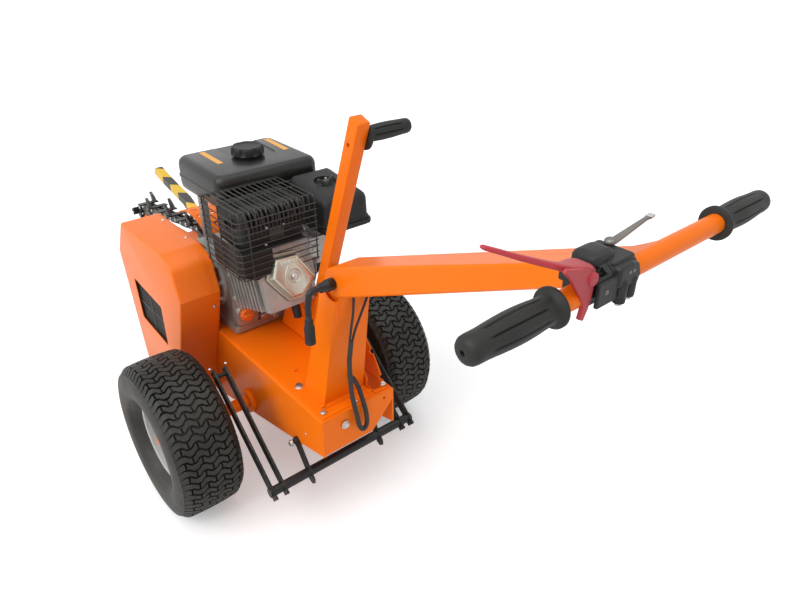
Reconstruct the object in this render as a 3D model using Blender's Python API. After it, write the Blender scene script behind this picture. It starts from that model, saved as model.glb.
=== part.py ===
# Walk-behind trencher with its digging boom raised, in metres, +Z up.
# +Y is forward, from the handlebar to the engine and the boom, and +X is the operator's right.
# Every size below is measured from the ground, the axle's centre line and the middle of the chassis.
# The root empty then moves the whole machine so that its box stands centred on the origin.

import math

import bmesh
import bpy
from mathutils import Matrix, Vector

# Fits
SEAT = 0.0003  # gap between two pieces that rest on each other
RUN = 0.0005  # radial clearance of a shaft in its bore
SWING = 0.0015  # clearance beside a piece that swings

# Wheels and axle
TYRE_RADIUS = 0.203
AXLE_Z = 0.203
TYRE_WIDTH = 0.165
TREAD_DEPTH = 0.006
WHEEL_X = 0.302
RIM_RADIUS = 0.098
RIM_HALF = 0.0595
RIM_FLANGE = 0.015
RIM_WALL = 0.003
RIM_SEGMENTS = 12
WHEEL_SEGMENTS = 2 * RIM_SEGMENTS
HUB_RADIUS = 0.023
HUB_IN = 0.070
HUB_OUT = 0.040
STUB_RADIUS = 0.0125
AXLE_RADIUS = 0.017
BOSS_RADIUS = 0.032
NUT_RADIUS = 0.016

# Chassis
CHASSIS_HALF = 0.102
DECK_Z = 0.353
SHEET = 0.004
FOLD_RADIUS = 0.006
REAR_Y = -0.356
DECK_FRONT_Y = 0.300
CHASSIS_FRONT_Y = 0.450
CROSS_LOW_Z = 0.088
UPRIGHT_THICK = 0.006
SLOT_LOW_X = 0.058
SLOT_HIGH_X = 0.092

# Boom and digging chain
HEAD_Y = 0.420
HEAD_Z = 0.433
HEAD_SHAFT_RADIUS = 0.0125
SPROCKET_HUB_HALF = 0.020
CHAIN_X = 0.030
CHAIN_PITCH = 0.042
HEAD_TEETH = 12
LINK_COUNT = 34
NOSE_RADIUS = 0.050
BOOM_SLOPE = math.radians(-5.0)
LINK_PIN_RADIUS = 0.0060
LINK_PLATE_RADIUS = 0.0125
LINK_PLATE = 0.004
LINK_INNER_GAP = 0.013
CUTTER_REACH = 0.045
CUTTER_HALF = 0.0325
CHAIN_ROOM = 0.006  # clearance beside the cutters where the chain passes the deck
BAR_HEIGHT = 0.050
BAR_WIDTH = 0.022
HOOD_RADIUS = 0.150
HOOD_SHEET = 0.003
HOOD_START = 56
HOOD_END = 140
HOOD_LEFT_X = -0.020
CARRIER_X = 0.066
CARRIER_THICK = 0.006
NOSE_PIN_RADIUS = 0.006
SAFETY_HALF = 0.0125

# Handlebar
TILT_Y = -0.338
TILT_Z = 0.676
BEAM_HALF = 0.039
BEAM_WALL = 0.003
BEAM_REAR_Y = -0.958
BEAM_REAR_Z = 0.946
NOSE_HALF = 0.033
TONGUE_ROOM = 0.053
BAR_Y = -0.966
BAR_Z = 0.9555
BAR_RADIUS = 0.014
BAR_HALF = 0.306
GRIP_LENGTH = 0.137
GRIP_RADIUS = 0.0175
COLUMN_HALF = 0.045
LOCK_BOLT_RADIUS = 0.006
KNOB_TOP = 0.611
HOUSING_TOP = 0.984
CLUTCH_X = -0.131
CLUTCH_Z = 0.981
CLUTCH_PIN = 0.003
THROTTLE_X = -0.050
THROTTLE_Y = -0.947

# Lift lever and linkage
LEVER_X = 0.075
LEVER_TUBE = 0.032
LEVER_ANGLE = math.radians(110.6)
ARM_LENGTH = 0.129
ARM_ANGLE = math.radians(69.0)
LUG_REACH = 0.090
LUG_ANGLE = math.radians(-61.5)
LINK_PIN = 0.006
LEVER_STUB = 0.008
GRIP_REACH = 0.790
LEVER_LENGTH = GRIP_REACH + LEVER_TUBE / 2 + 0.019
LINK_LOW_X = 0.074
LINK_HIGH_X = 0.080
LEVER_TRAVEL = math.radians(39.0)
SECTOR_RADIUS = 0.360
SECTOR_FRONT_Y = 0.066
SECTOR_ROOM = 0.040  # how far the plate's blank reaches below the deck before its foot is cut
SECTOR_INNER_X = 0.0535
SECTOR_OUTER_X = 0.0935
SECTOR_SHEET = 0.003
LATCH_TRAVEL = 0.012
LATCH_BAR_RADIUS = 0.004
LATCH_OFFSET = 0.0225
NOTCH_ROOM = 0.0012

# Engine
CRANK_Y = 0.190
CRANK_Z = 0.490
CRANK_RADIUS = 0.0127
ENGINE_LEFT_X = -0.072
ENGINE_RIGHT_X = 0.120
CYLINDER_TILT = math.radians(18.0)
FIN_COUNT = 8
FIN_THICK = 0.004
FIN_NEAR = 0.118
FIN_LEFT_X = -0.075
FIN_RIGHT_X = 0.085
HEAD_NEAR = 0.270
HEAD_FAR = 0.298
HEAD_LEFT_X = -0.070
HEAD_RIGHT_X = 0.0515
FIN_HALF = 0.074
BASE_LIFT = 0.0035
BASE_Z = 0.375
CASE_REAR_Y = 0.092
CASE_FRONT_Y = 0.285
CASE_TOP_Z = 0.570
OIL_X = -0.045
OIL_Y = 0.078
OIL_Z = 0.415
SWITCH_X = 0.060
SWITCH_Z = 0.408
MUFFLER_LOW_Z = 0.662
FILTER_LOW_Z = 0.655
FILTER_STUD = 0.003
BLOWER_RADIUS = 0.135
RECOIL_X = 0.175
RECOIL_RADIUS = 0.098
RECOIL_PULL = 40
TANK_LOW_Z = 0.700
TANK_HEIGHT = 0.088
TANK_HIGH_Z = TANK_LOW_Z + TANK_HEIGHT
CAP_X = 0.080
CAP_Y = 0.206
CAP_RADIUS = 0.0425
CAGE_WIRE = 0.0022
CAGE_WIRES = 7

# Belt guard and drive
GUARD_IN_X = -CHASSIS_HALF - SEAT
GUARD_TOP_Z = 0.605
GUARD_LOW_Z = 0.125
GUARD_BACK = 0.003
GUARD_OUT_X = -0.210
GUARD_SHEET = 0.0025
BELT_X = -0.150
BELT_WIDTH = 0.016
BELT_THICK = 0.010
CRANK_PULLEY_RADIUS = 0.045
JACK_PULLEY_RADIUS = 0.100
JACK_Y = 0.300
JACK_Z = 0.250
JACK_RADIUS = 0.0125
FINAL_X = -0.120
FINAL_SMALL_RADIUS = 0.028
FINAL_BIG_RADIUS = 0.055
FINAL_CHAIN_WIDTH = 0.010
IDLER_RADIUS = 0.025
IDLER_SLACK = 0.013
IDLER_PIVOT = (0.400, 0.530)
IDLER_STUD = 0.006
IDLER_ARM_X = -0.1650

# Rear swing frame
SWING_Y = -0.238
SWING_Z = 0.225
SWING_TUBE_Y = -0.285
SWING_TUBE_Z = 0.158
SWING_HALF = 0.215
SWING_PIN = 0.005

# Colour, roughness and, for bare metal, how metallic it is.
LOOKS = {
    "orange_paint": ((0.78, 0.12, 0.01), 0.35),
    "black_paint": ((0.018, 0.018, 0.020), 0.40),
    "tyre_rubber": ((0.020, 0.020, 0.021), 0.85),
    "black_rubber": ((0.015, 0.015, 0.016), 0.70),
    "charcoal_plastic": ((0.045, 0.047, 0.050), 0.50),
    "red_plastic": ((0.62, 0.035, 0.035), 0.45),
    "hazard_paint": ((0.85, 0.55, 0.02), 0.45),
    "steel": ((0.42, 0.41, 0.40), 0.42, 0.9),
    "cast_aluminium": ((0.36, 0.34, 0.32), 0.60, 0.9),
    "cream_zinc": ((0.72, 0.64, 0.47), 0.38, 0.9),
    "dark_wire": ((0.09, 0.09, 0.09), 0.50, 0.9),
}
AXES = {"x": (1, 2, 0), "y": (0, 2, 1), "z": (0, 1, 2)}
PIVOTS = {}


def place(axis, u, v, w):
    # Outline point (u, v) at depth w: (y, z) along x, (x, z) along y and (x, y) along z.
    first, second, along = AXES[axis]
    point = [0.0, 0.0, 0.0]
    point[first] = u
    point[second] = v
    point[along] = w
    return Vector(point)


def polar(centre, radius, angle):
    return (centre[0] + radius * math.cos(angle), centre[1] + radius * math.sin(angle))


def arc(centre, radius, start, end, steps):
    # Points on a circle from one angle to another, both in degrees.
    turns = [math.radians(start + (end - start) * i / steps) for i in range(steps + 1)]
    return [polar(centre, radius, turn) for turn in turns]


def circle(centre, radius, sides):
    return [polar(centre, radius, math.tau * i / sides) for i in range(sides)]


def rectangle(low_u, low_v, high_u, high_v):
    return [(low_u, low_v), (high_u, low_v), (high_u, high_v), (low_u, high_v)]


def rounded(points, radius, steps=3):
    # The outline with each corner replaced by an arc that touches both of its sides.
    result = []
    count = len(points)
    for i in range(count):
        before = Vector(points[i - 1])
        corner = Vector(points[i])
        after = Vector(points[(i + 1) % count])
        back = (before - corner).normalized()
        ahead = (after - corner).normalized()
        half = back.angle(ahead) / 2
        reach = radius / math.tan(half)
        limit = 0.49 * min((before - corner).length, (after - corner).length)
        size = min(1.0, limit / reach) * radius
        middle = corner + (back + ahead).normalized() * size / math.sin(half)
        start = corner + back * size / math.tan(half) - middle
        end = corner + ahead * size / math.tan(half) - middle
        sweep = start.angle_signed(end)
        for step in range(steps + 1):
            turn = Matrix.Rotation(-sweep * step / steps, 2)
            result.append(tuple(middle + turn @ start))
    return result


def inset(points, distance):
    # The outline moved inwards by one distance on every side.
    area = sum(a[0] * b[1] - b[0] * a[1] for a, b in zip(points, points[1:] + points[:1]))
    side = 1 if area > 0 else -1
    result = []
    count = len(points)
    for i in range(count):
        corner = Vector(points[i])
        first = (corner - Vector(points[i - 1])).normalized()
        second = (Vector(points[(i + 1) % count]) - corner).normalized()
        normal = Vector((-first.y - second.y, first.x + second.x)) * side
        normal.normalize()
        lean = Vector((-first.y, first.x)) * side
        result.append(tuple(corner + normal * distance / normal.dot(lean)))
    return result


def strap(start, end, half_width, steps=4):
    # A bar between two points, with round ends centred on them.
    angle = math.degrees(math.atan2(end[1] - start[1], end[0] - start[0]))
    far = arc(end, half_width, angle - 90, angle + 90, steps)
    near = arc(start, half_width, angle + 90, angle + 270, steps)
    return far + near


def slab(start, end, half_width):
    # A bar between two points, with square ends.
    along = (Vector(end) - Vector(start)).normalized() * half_width
    across = Vector((-along.y, along.x))
    corners = [(start, -1), (end, -1), (end, 1), (start, 1)]
    return [tuple(Vector(point) + across * sign) for point, sign in corners]


def prism(outline, axis, low, high):
    mesh = bmesh.new()
    face = mesh.faces.new([mesh.verts.new(place(axis, u, v, low)) for u, v in outline])
    grown = bmesh.ops.extrude_face_region(mesh, geom=[face])["geom"]
    moved = [item for item in grown if isinstance(item, bmesh.types.BMVert)]
    bmesh.ops.translate(mesh, verts=moved, vec=place(axis, 0, 0, high - low))
    bmesh.ops.recalc_face_normals(mesh, faces=mesh.faces)
    return mesh


def block(low, high):
    return prism(rectangle(low[0], low[1], high[0], high[1]), "z", low[2], high[2])


def lathe(profile, segments, axis, centre):
    # A turned solid: (along, radius) points round an axis through centre. A profile that
    # starts and ends on the axis stays open there.
    mesh = bmesh.new()
    points = [mesh.verts.new(place(axis, centre[0], centre[1] - r, w)) for w, r in profile]
    pairs = list(zip(points, points[1:]))
    if profile[0][1] > 0:
        pairs.append((points[-1], points[0]))
    edges = [mesh.edges.new(pair) for pair in pairs]
    bmesh.ops.spin(
        mesh,
        geom=points + edges,
        cent=place(axis, centre[0], centre[1], 0),
        axis=place(axis, 0, 0, 1),
        angle=math.tau,
        steps=segments,
        use_merge=True,
    )
    bmesh.ops.remove_doubles(mesh, verts=mesh.verts, dist=1e-6)
    bmesh.ops.recalc_face_normals(mesh, faces=mesh.faces)
    return mesh


def rod(axis, centre, radius, low, high, segments=12):
    return lathe([(low, 0), (low, radius), (high, radius), (high, 0)], segments, axis, centre)


def ring(axis, centre, inner, outer, low, high, segments=16):
    profile = [(low, inner), (low, outer), (high, outer), (high, inner)]
    return lathe(profile, segments, axis, centre)


def bore_radius(radius, segments):
    # A faceted bore whose flats stay clear of a shaft by the running fit.
    return (radius + RUN) / math.cos(math.pi / segments)


def bent_rod(points, radius, resolution=1):
    # A round bar along a path, made as a bevelled curve and turned into a mesh.
    guide = make_cable("bent_rod", points, radius, resolution)
    graph = bpy.context.evaluated_depsgraph_get()
    made = bpy.data.meshes.new_from_object(guide.evaluated_get(graph))
    mesh = bmesh.new()
    mesh.from_mesh(made)
    bpy.data.objects.remove(guide)
    bpy.data.meshes.remove(made)
    bmesh.ops.remove_doubles(mesh, verts=mesh.verts, dist=1e-6)
    bmesh.ops.recalc_face_normals(mesh, faces=mesh.faces)
    return mesh


def make_cable(name, points, radius, resolution):
    data = bpy.data.curves.new(name, "CURVE")
    data.dimensions = "3D"
    data.bevel_depth = radius
    data.bevel_resolution = resolution
    data.use_fill_caps = True
    spline = data.splines.new("POLY")
    spline.points.add(len(points) - 1)
    for slot, point in zip(spline.points, points):
        slot.co = (*point, 1)
    cable = bpy.data.objects.new(name, data)
    bpy.context.collection.objects.link(cable)
    return cable


def smooth_path(points, count):
    # Points at even steps of a cubic curve through the given points.
    spans = len(points) - 1
    path = []
    for step in range(count + 1):
        place_on = spans * step / count
        i = min(int(place_on), spans - 1)
        t = place_on - i
        around = [points[max(0, min(spans, i + k))] for k in (-1, 0, 1, 2)]
        a, b, c, d = (Vector(point) for point in around)
        square = 2 * a - 5 * b + 4 * c - d
        cube = 3 * b - a - 3 * c + d
        path.append(0.5 * (2 * b + (c - a) * t + square * t**2 + cube * t**3))
    return path


def turned(mesh, axis, centre, angle):
    # The mesh turned about an axis through centre, by an angle in radians.
    pivot = place(axis, centre[0], centre[1], 0)
    spin = Matrix.Rotation(angle, 3, place(axis, 0, 0, 1))
    bmesh.ops.rotate(mesh, verts=mesh.verts, cent=pivot, matrix=spin)
    return mesh


def joined(meshes):
    # Several meshes in one, still overlapping, for a Boolean that cleans up after them.
    whole = bmesh.new()
    for mesh in meshes:
        copies = {vert: whole.verts.new(vert.co) for vert in mesh.verts}
        for face in mesh.faces:
            whole.faces.new([copies[vert] for vert in face.verts])
        mesh.free()
    return whole


def make_material(name, colour, roughness, metallic=0.0):
    material = bpy.data.materials.new(name)
    material.use_nodes = True
    shader = material.node_tree.nodes["Principled BSDF"]
    shader.inputs["Base Color"].default_value = (*colour, 1.0)
    shader.inputs["Roughness"].default_value = roughness
    shader.inputs["Metallic"].default_value = metallic
    material.diffuse_color = (*colour, 1.0)
    return material


def make_body(name, pivot, carrier=None):
    # An empty on a joint's axis, which carries the pieces that move with it.
    empty = bpy.data.objects.new(name + "_body", None)
    bpy.context.collection.objects.link(empty)
    empty.empty_display_size = 0.03
    PIVOTS[empty] = Vector(pivot)
    if carrier:
        empty.parent = carrier
        empty.location = Vector(pivot) - PIVOTS[carrier]
    return empty


def add_object(name, mesh, body):
    bmesh.ops.translate(mesh, verts=mesh.verts, vec=-PIVOTS[body])
    data = bpy.data.meshes.new(name)
    mesh.to_mesh(data)
    mesh.free()
    made = bpy.data.objects.new(name, data)
    bpy.context.collection.objects.link(made)
    made.parent = body
    return made


def add_solid(name, mesh, material, body, sharp=30):
    made = add_object(name, mesh, body)
    made.data.materials.append(material)
    made.data.shade_smooth()
    made.data.set_sharp_from_angle(angle=math.radians(sharp))
    return made


def combine(made, meshes, operation, self_union=False):
    # A chain of exact Booleans, each with its own hidden helper.
    for mesh in meshes:
        helper = add_object(made.name + "." + operation.lower(), mesh, made.parent)
        helper.hide_render = True
        helper.display_type = "WIRE"
        modifier = made.modifiers.new(operation.lower(), "BOOLEAN")
        modifier.operation = operation
        modifier.solver = "EXACT"
        modifier.use_self = self_union
        modifier.object = helper


def fuse(made, meshes):
    combine(made, meshes, "UNION")


def cut(made, meshes):
    combine(made, meshes, "DIFFERENCE")


def soften(made, width, segments=1, angle=40):
    bevel = made.modifiers.new("soften", "BEVEL")
    bevel.width = width
    bevel.segments = segments
    bevel.limit_method = "ANGLE"
    bevel.angle_limit = math.radians(angle)
    bevel.harden_normals = False


def hex_head(axis, centre, radius, low, high):
    return prism(circle(centre, radius, 6), axis, low, high)


def tread_profile():
    # Three rows of blocks across the crown, with a groove between each two.
    edges = (-0.071, -0.042, -0.032, 0.032, 0.042, 0.071)
    drop = 0.005
    crown = [(a, TYRE_RADIUS - drop * (a / edges[-1]) ** 2) for a in edges]
    points = []
    for row in range(0, len(crown), 2):
        points += crown[row : row + 2]
        if row + 2 < len(crown):
            middle = (crown[row + 1][0] + crown[row + 2][0]) / 2
            points.append((middle, crown[row + 1][1] - TREAD_DEPTH))
    return points


def tyre_profile():
    # A casing that is open at its beads, worked out on one side and mirrored. It has
    # twice the rim's facets, so that its beads lie outside the rim all round.
    half = TYRE_WIDTH / 2
    bead = RIM_RADIUS + SEAT
    outer = [
        (RIM_HALF - 0.0135, bead),
        (RIM_HALF - 0.001, bead),
        (RIM_HALF + 0.0020, bead + RIM_FLANGE),
        (half, TYRE_RADIUS - 0.048),
        (half - 0.0045, TYRE_RADIUS - 0.021),
    ]
    inner = [
        (half - 0.0275, TYRE_RADIUS - 0.017),
        (half - 0.0125, TYRE_RADIUS - 0.053),
    ]
    left = [(-a, r) for a, r in outer]
    back = [(-a, r) for a, r in inner[::-1]]
    return left + tread_profile() + outer[::-1] + inner[::-1] + back[::-1]


def press_tread(mesh, centre):
    # Every third step round the tyre is sunk, staggered from row to row.
    step = math.tau / WHEEL_SEGMENTS
    for vert in mesh.verts:
        along = vert.co.x - centre
        y = vert.co.y
        z = vert.co.z - AXLE_Z
        radius = math.hypot(y, z)
        if abs(along) > 0.0715 or radius < TYRE_RADIUS - 0.0055:
            continue
        row = 0 if along < -0.037 else 1 if along < 0.037 else 2
        place_round = round(math.atan2(y, -z) / step) + row % 2
        if place_round % 3 == 2:
            vert.co.y -= y / radius * TREAD_DEPTH
            vert.co.z -= z / radius * TREAD_DEPTH


def make_wheel(side, name, tyre_paint, rim_paint, body):
    centre = side * WHEEL_X
    wheel = (0, AXLE_Z)
    tyre = lathe([(centre + a, r) for a, r in tyre_profile()], WHEEL_SEGMENTS, "x", wheel)
    press_tread(tyre, centre)
    add_solid("tyre_" + name, tyre, tyre_paint, body, 35)
    bore = bore_radius(STUB_RADIUS, RIM_SEGMENTS)
    inner = RIM_RADIUS - RIM_WALL
    flange = RIM_RADIUS + RIM_FLANGE
    rim = [
        (-HUB_IN, bore),
        (-HUB_IN, HUB_RADIUS),
        (-0.004, HUB_RADIUS + 0.002),
        (-0.006, 0.075),
        (-0.004, inner),
        (-RIM_HALF - 0.003, inner),
        (-RIM_HALF - 0.006, flange),
        (-RIM_HALF - 0.003, flange),
        (-RIM_HALF, RIM_RADIUS),
        (RIM_HALF, RIM_RADIUS),
        (RIM_HALF + 0.003, flange),
        (RIM_HALF + 0.006, flange),
        (RIM_HALF + 0.003, inner),
        (0.000, inner),
        (-0.001, 0.075),
        (0.004, HUB_RADIUS + 0.002),
        (HUB_OUT, HUB_RADIUS),
        (HUB_OUT, bore),
    ]
    turned_rim = lathe([(centre + side * a, r) for a, r in rim], RIM_SEGMENTS, "x", wheel)
    add_solid("rim_" + name, turned_rim, rim_paint, body)


def make_axle(paint, body):
    centre = (0, AXLE_Z)
    half = WHEEL_X - HUB_IN - RUN
    end = WHEEL_X + HUB_OUT + RUN
    tip = end + 0.014
    profile = [
        (-tip, 0),
        (-tip, STUB_RADIUS),
        (-half, STUB_RADIUS),
        (-half, AXLE_RADIUS),
        (half, AXLE_RADIUS),
        (half, STUB_RADIUS),
        (tip, STUB_RADIUS),
        (tip, 0),
    ]
    axle = add_solid("axle_tube", lathe(profile, 12, "x", centre), paint, body)
    pieces = []
    for side in (-1, 1):
        near = side * (CHASSIS_HALF + SEAT)
        pieces.append(rod("x", centre, BOSS_RADIUS, near, near + side * 0.012, 16))
        pieces.append(hex_head("x", centre, NUT_RADIUS, side * end, side * (end + 0.0115)))
    fuse(axle, pieces)


def channel_outline():
    # The chassis sheet folded into an upside-down channel.
    high = DECK_Z - FOLD_RADIUS
    corner = CHASSIS_HALF - FOLD_RADIUS
    inner = FOLD_RADIUS - SHEET
    low = 0.05
    wall = CHASSIS_HALF - SHEET
    outline = [(-CHASSIS_HALF, low)]
    outline += arc((-corner, high), FOLD_RADIUS, 180, 90, 3)
    outline += arc((corner, high), FOLD_RADIUS, 90, 0, 3)
    outline += [(CHASSIS_HALF, low), (wall, low)]
    outline += arc((corner, high), inner, 0, 90, 2)
    outline += arc((-corner, high), inner, 90, 180, 2)
    outline.append((-wall, low))
    return outline


def make_chassis(paint, body):
    shell = prism(channel_outline(), "y", REAR_Y, CHASSIS_FRONT_Y)
    chassis = add_solid("chassis_frame", shell, paint, body)
    side_view = [
        (REAR_Y - 0.01, DECK_Z + 0.01),
        (REAR_Y - 0.01, 0.254),
        (-0.249, 0.224),
        (-0.101, 0.189),
        (0.070, 0.148),
        (0.400, 0.067),
        (CHASSIS_FRONT_Y + 0.01, 0.100),
        (CHASSIS_FRONT_Y + 0.01, 0.300),
        (DECK_FRONT_Y, DECK_Z + 0.01),
    ]
    combine(chassis, [prism(side_view, "x", -0.12, 0.12)], "INTERSECT")
    rear_plate = [
        (-CHASSIS_HALF + 0.001, DECK_Z - 0.002),
        (-CHASSIS_HALF + 0.001, 0.255),
        (0.037, 0.255),
        (CHASSIS_HALF - 0.001, 0.322),
        (CHASSIS_HALF - 0.001, DECK_Z - 0.002),
    ]
    wall = CHASSIS_HALF - 0.001
    cross = block(
        (-wall, CHASSIS_FRONT_Y - 0.052, CROSS_LOW_Z),
        (wall, CHASSIS_FRONT_Y - 0.010, CROSS_LOW_Z + 0.040),
    )
    bolts = [
        hex_head("z", centre, 0.0075, DECK_Z - 0.001, DECK_Z + 0.006)
        for centre in ((0.045, -0.335), (-0.045, -0.150), (0.020, -0.150))
    ]
    rear_bolt = hex_head("y", (-0.042, 0.319), 0.0075, REAR_Y - 0.006, REAR_Y + 0.001)
    swing = (SWING_Y, SWING_Z)
    ears = [
        rod("x", swing, 0.016, side * (CHASSIS_HALF - SHEET), side * CHASSIS_HALF, 16)
        for side in (-1, 1)
    ]
    fuse(chassis, [prism(rear_plate, "y", REAR_Y, REAR_Y + SHEET), cross, rear_bolt] + bolts + ears)
    deck_low = DECK_Z - 0.02
    deck_high = DECK_Z + 0.02
    lever_slot = rounded(rectangle(SLOT_LOW_X, REAR_Y + 0.021, SLOT_HIGH_X, -0.030), 0.008)
    small_slot = strap((0.018, 0.058), (0.029, 0.029), 0.010)
    holes = [
        prism(lever_slot, "z", deck_low, deck_high),
        prism(small_slot, "z", deck_low, deck_high),
        block(
            (LINK_LOW_X - SWING, 0.180, deck_low),
            (LINK_HIGH_X + SWING, DECK_FRONT_Y + 0.05, deck_high),
        ),
        block(
            (CHAIN_X - CUTTER_HALF - CHAIN_ROOM, DECK_FRONT_Y, deck_low),
            (CHAIN_X + CUTTER_HALF + CHAIN_ROOM, DECK_FRONT_Y + 0.05, deck_high),
        ),
        rod("y", (0.074, DECK_Z - 0.018), 0.004, REAR_Y - 0.01, REAR_Y + 0.01, 10),
        rod("x", (0, AXLE_Z), bore_radius(AXLE_RADIUS, 12), -0.12, 0.12, 12),
        rod("x", (JACK_Y, JACK_Z), bore_radius(JACK_RADIUS, 12), -0.12, 0.12, 12),
        rod("x", (-0.278, 0.269), 0.004, -0.12, -0.08, 10),
        rod("x", swing, bore_radius(SWING_PIN, 12), -0.12, 0.12, 12),
    ]
    cut(chassis, holes)


def make_upright(side, name, paint, body):
    # A bearing plate that stands inside the chassis side and carries the head shaft.
    outer = CHASSIS_HALF - SHEET - SEAT
    head = (HEAD_Y, HEAD_Z)
    outline = [(HEAD_Y - 0.055, 0.200), (HEAD_Y + 0.020, 0.150), (HEAD_Y + 0.026, 0.290)]
    outline += arc(head, 0.042, -10, 190, 8)
    outline += [(HEAD_Y - 0.060, 0.340)]
    low = side * (outer - UPRIGHT_THICK)
    plate = add_solid("upright_" + name, prism(outline, "x", low, side * outer), paint, body)
    bearing = rod("x", head, 0.026, low, side * (outer + 0.004), 14)
    fuse(plate, [bearing])
    bore = bore_radius(HEAD_SHAFT_RADIUS, 12)
    cut(plate, [rod("x", head, bore, low - side * 0.01, side * (outer + 0.02), 12)])


def make_front_foot(paint, body):
    # A skid under the front crossmember, which the machine stands on with the boom up.
    low_y = CHASSIS_FRONT_Y - 0.050
    high_y = CHASSIS_FRONT_Y - 0.012
    top = CROSS_LOW_Z - SEAT
    ground = AXLE_Z - TYRE_RADIUS
    shoe = [
        (low_y - 0.030, ground + 0.022),
        (low_y - 0.014, ground),
        (high_y + 0.004, ground),
        (high_y + 0.020, ground + 0.018),
        (high_y + 0.016, ground + 0.022),
        (high_y + 0.002, ground + 0.005),
        (low_y - 0.012, ground + 0.005),
        (low_y - 0.026, ground + 0.024),
    ]
    foot = add_solid("front_foot", prism(shoe, "x", -0.060, 0.060), paint, body)
    leg = rectangle(low_y, ground + 0.004, high_y, top)
    legs = [prism(leg, "x", side * 0.030, side * 0.036) for side in (-1, 1)]
    cap = block((-0.040, low_y, top - 0.005), (0.040, high_y, top))
    fuse(foot, legs + [cap])


def make_column(paint, body):
    # Folded sheet that tapers from its foot on the deck to the handlebar's pivot.
    foot = DECK_Z + SEAT
    base = [(-0.062, -0.308), (0.048, -0.308), (0.048, -0.224), (-0.062, -0.224)]
    half = COLUMN_HALF
    top = [(-half, -0.352), (half, -0.352), (half, -0.298), (-half, -0.298)]
    outer = loft(base, foot, top, TILT_Z - 0.020)
    column = add_solid("column", outer, paint, body)
    wall = 0.003
    pivot = (TILT_Y, TILT_Z)
    hollow = loft(inset(base, wall), foot - 0.001, inset(top, wall), TILT_Z - 0.019)
    saddle = rod("x", pivot, NOSE_HALF + 0.0060, -0.1, 0.1, 24)
    cut(column, [hollow, saddle])
    flange = prism(rounded(rectangle(-0.082, -0.322, 0.051, -0.205), 0.010), "z", foot, foot + SHEET)
    shelf = block((-half + 0.001, -0.340, TILT_Z - 0.086), (half - 0.001, -0.296, TILT_Z - 0.078))
    tongue_half = BEAM_HALF - BEAM_WALL - SWING
    tongue = prism(
        strap((TILT_Y + 0.018, TILT_Z - 0.080), pivot, 0.024, 6),
        "x",
        -tongue_half,
        tongue_half,
    )
    bolts = [
        hex_head("z", centre, 0.0075, foot + 0.002, foot + SHEET + 0.005)
        for centre in ((-0.071, -0.214), (-0.072, -0.312))
    ]
    fuse(column, [flange, shelf, tongue] + bolts)
    bore = bore_radius(LOCK_BOLT_RADIUS, 16)
    cut(column, [rod("x", pivot, bore, -0.08, 0.08, 16), floor_opening(foot)])


def loft(base, low, top, high):
    # A tapering solid between two level outlines with as many corners.
    mesh = bmesh.new()
    lower = [mesh.verts.new((x, y, low)) for x, y in base]
    upper = [mesh.verts.new((x, y, high)) for x, y in top]
    mesh.faces.new(lower[::-1])
    mesh.faces.new(upper)
    count = len(lower)
    for i in range(count):
        j = (i + 1) % count
        mesh.faces.new((lower[i], lower[j], upper[j], upper[i]))
    bmesh.ops.recalc_face_normals(mesh, faces=mesh.faces)
    return mesh


def floor_opening(foot):
    return block((-0.055, -0.300, foot - 0.001), (0.040, -0.232, foot + SHEET + 0.001))


def make_sector(name, low_x, paint, body):
    # A plate whose arc is centred on the axle, with a notch for each held lever angle.
    hub = (0, AXLE_Z)
    bar = latch_angle()
    rest = math.degrees(bar)
    last = math.degrees(bar + LEVER_TRAVEL)
    foot = DECK_Z + SEAT
    below = foot - SECTOR_ROOM
    outline = arc(hub, SECTOR_RADIUS, last + 1.2, rest - 3.4, 16)
    shoulder = polar(hub, SECTOR_RADIUS * 0.957, math.radians(rest - 2.3))
    knee = polar(hub, SECTOR_RADIUS * 0.597, math.radians(rest - 34.8))
    outline += [shoulder, knee, (SECTOR_FRONT_Y, foot + 0.006), (SECTOR_FRONT_Y, below)]
    outline = [(outline[0][0], below)] + outline
    plate = prism(outline, "x", low_x, low_x + SECTOR_SHEET)
    made = add_solid(name, plate, paint, body)
    notches = [block((low_x - 0.01, -SECTOR_RADIUS - 0.1, below - 0.01), (low_x + 0.01, 0.1, foot))]
    for angle in (bar, bar + math.radians(28.3), bar + LEVER_TRAVEL):
        outer = polar(hub, SECTOR_RADIUS + 0.012, angle)
        inner = polar(hub, latch_radius() - LATCH_TRAVEL, angle)
        notch = strap(inner, outer, LATCH_BAR_RADIUS + NOTCH_ROOM)
        notches.append(prism(notch, "x", low_x - 0.01, low_x + 0.01))
    cut(made, notches)


def latch_radius():
    # The latch bar lies behind the lever tube, just outside the sectors' arc.
    reach = SECTOR_RADIUS + LATCH_BAR_RADIUS + SWING
    return math.hypot(reach, LATCH_OFFSET)


def latch_angle():
    reach = SECTOR_RADIUS + LATCH_BAR_RADIUS + SWING
    return LEVER_ANGLE + math.atan2(LATCH_OFFSET, reach)


def head_radius():
    # Pitch radius of the digging sprocket, from its teeth and the chain's pitch.
    return CHAIN_PITCH / (2 * math.sin(math.pi / HEAD_TEETH))


def loop_parts(centres):
    # Pitches on half of the head wrap, on one straight run and on half of the nose wrap.
    lean = math.asin((head_radius() - NOSE_RADIUS) / centres)
    head_count = (math.pi / 2 + lean) / (math.tau / HEAD_TEETH)
    run_count = centres * math.cos(lean) / CHAIN_PITCH
    nose_step = 2 * math.asin(CHAIN_PITCH / 2 / NOSE_RADIUS)
    nose_count = (math.pi / 2 - lean) / nose_step
    return lean, head_count, run_count, nose_count, nose_step


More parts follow.
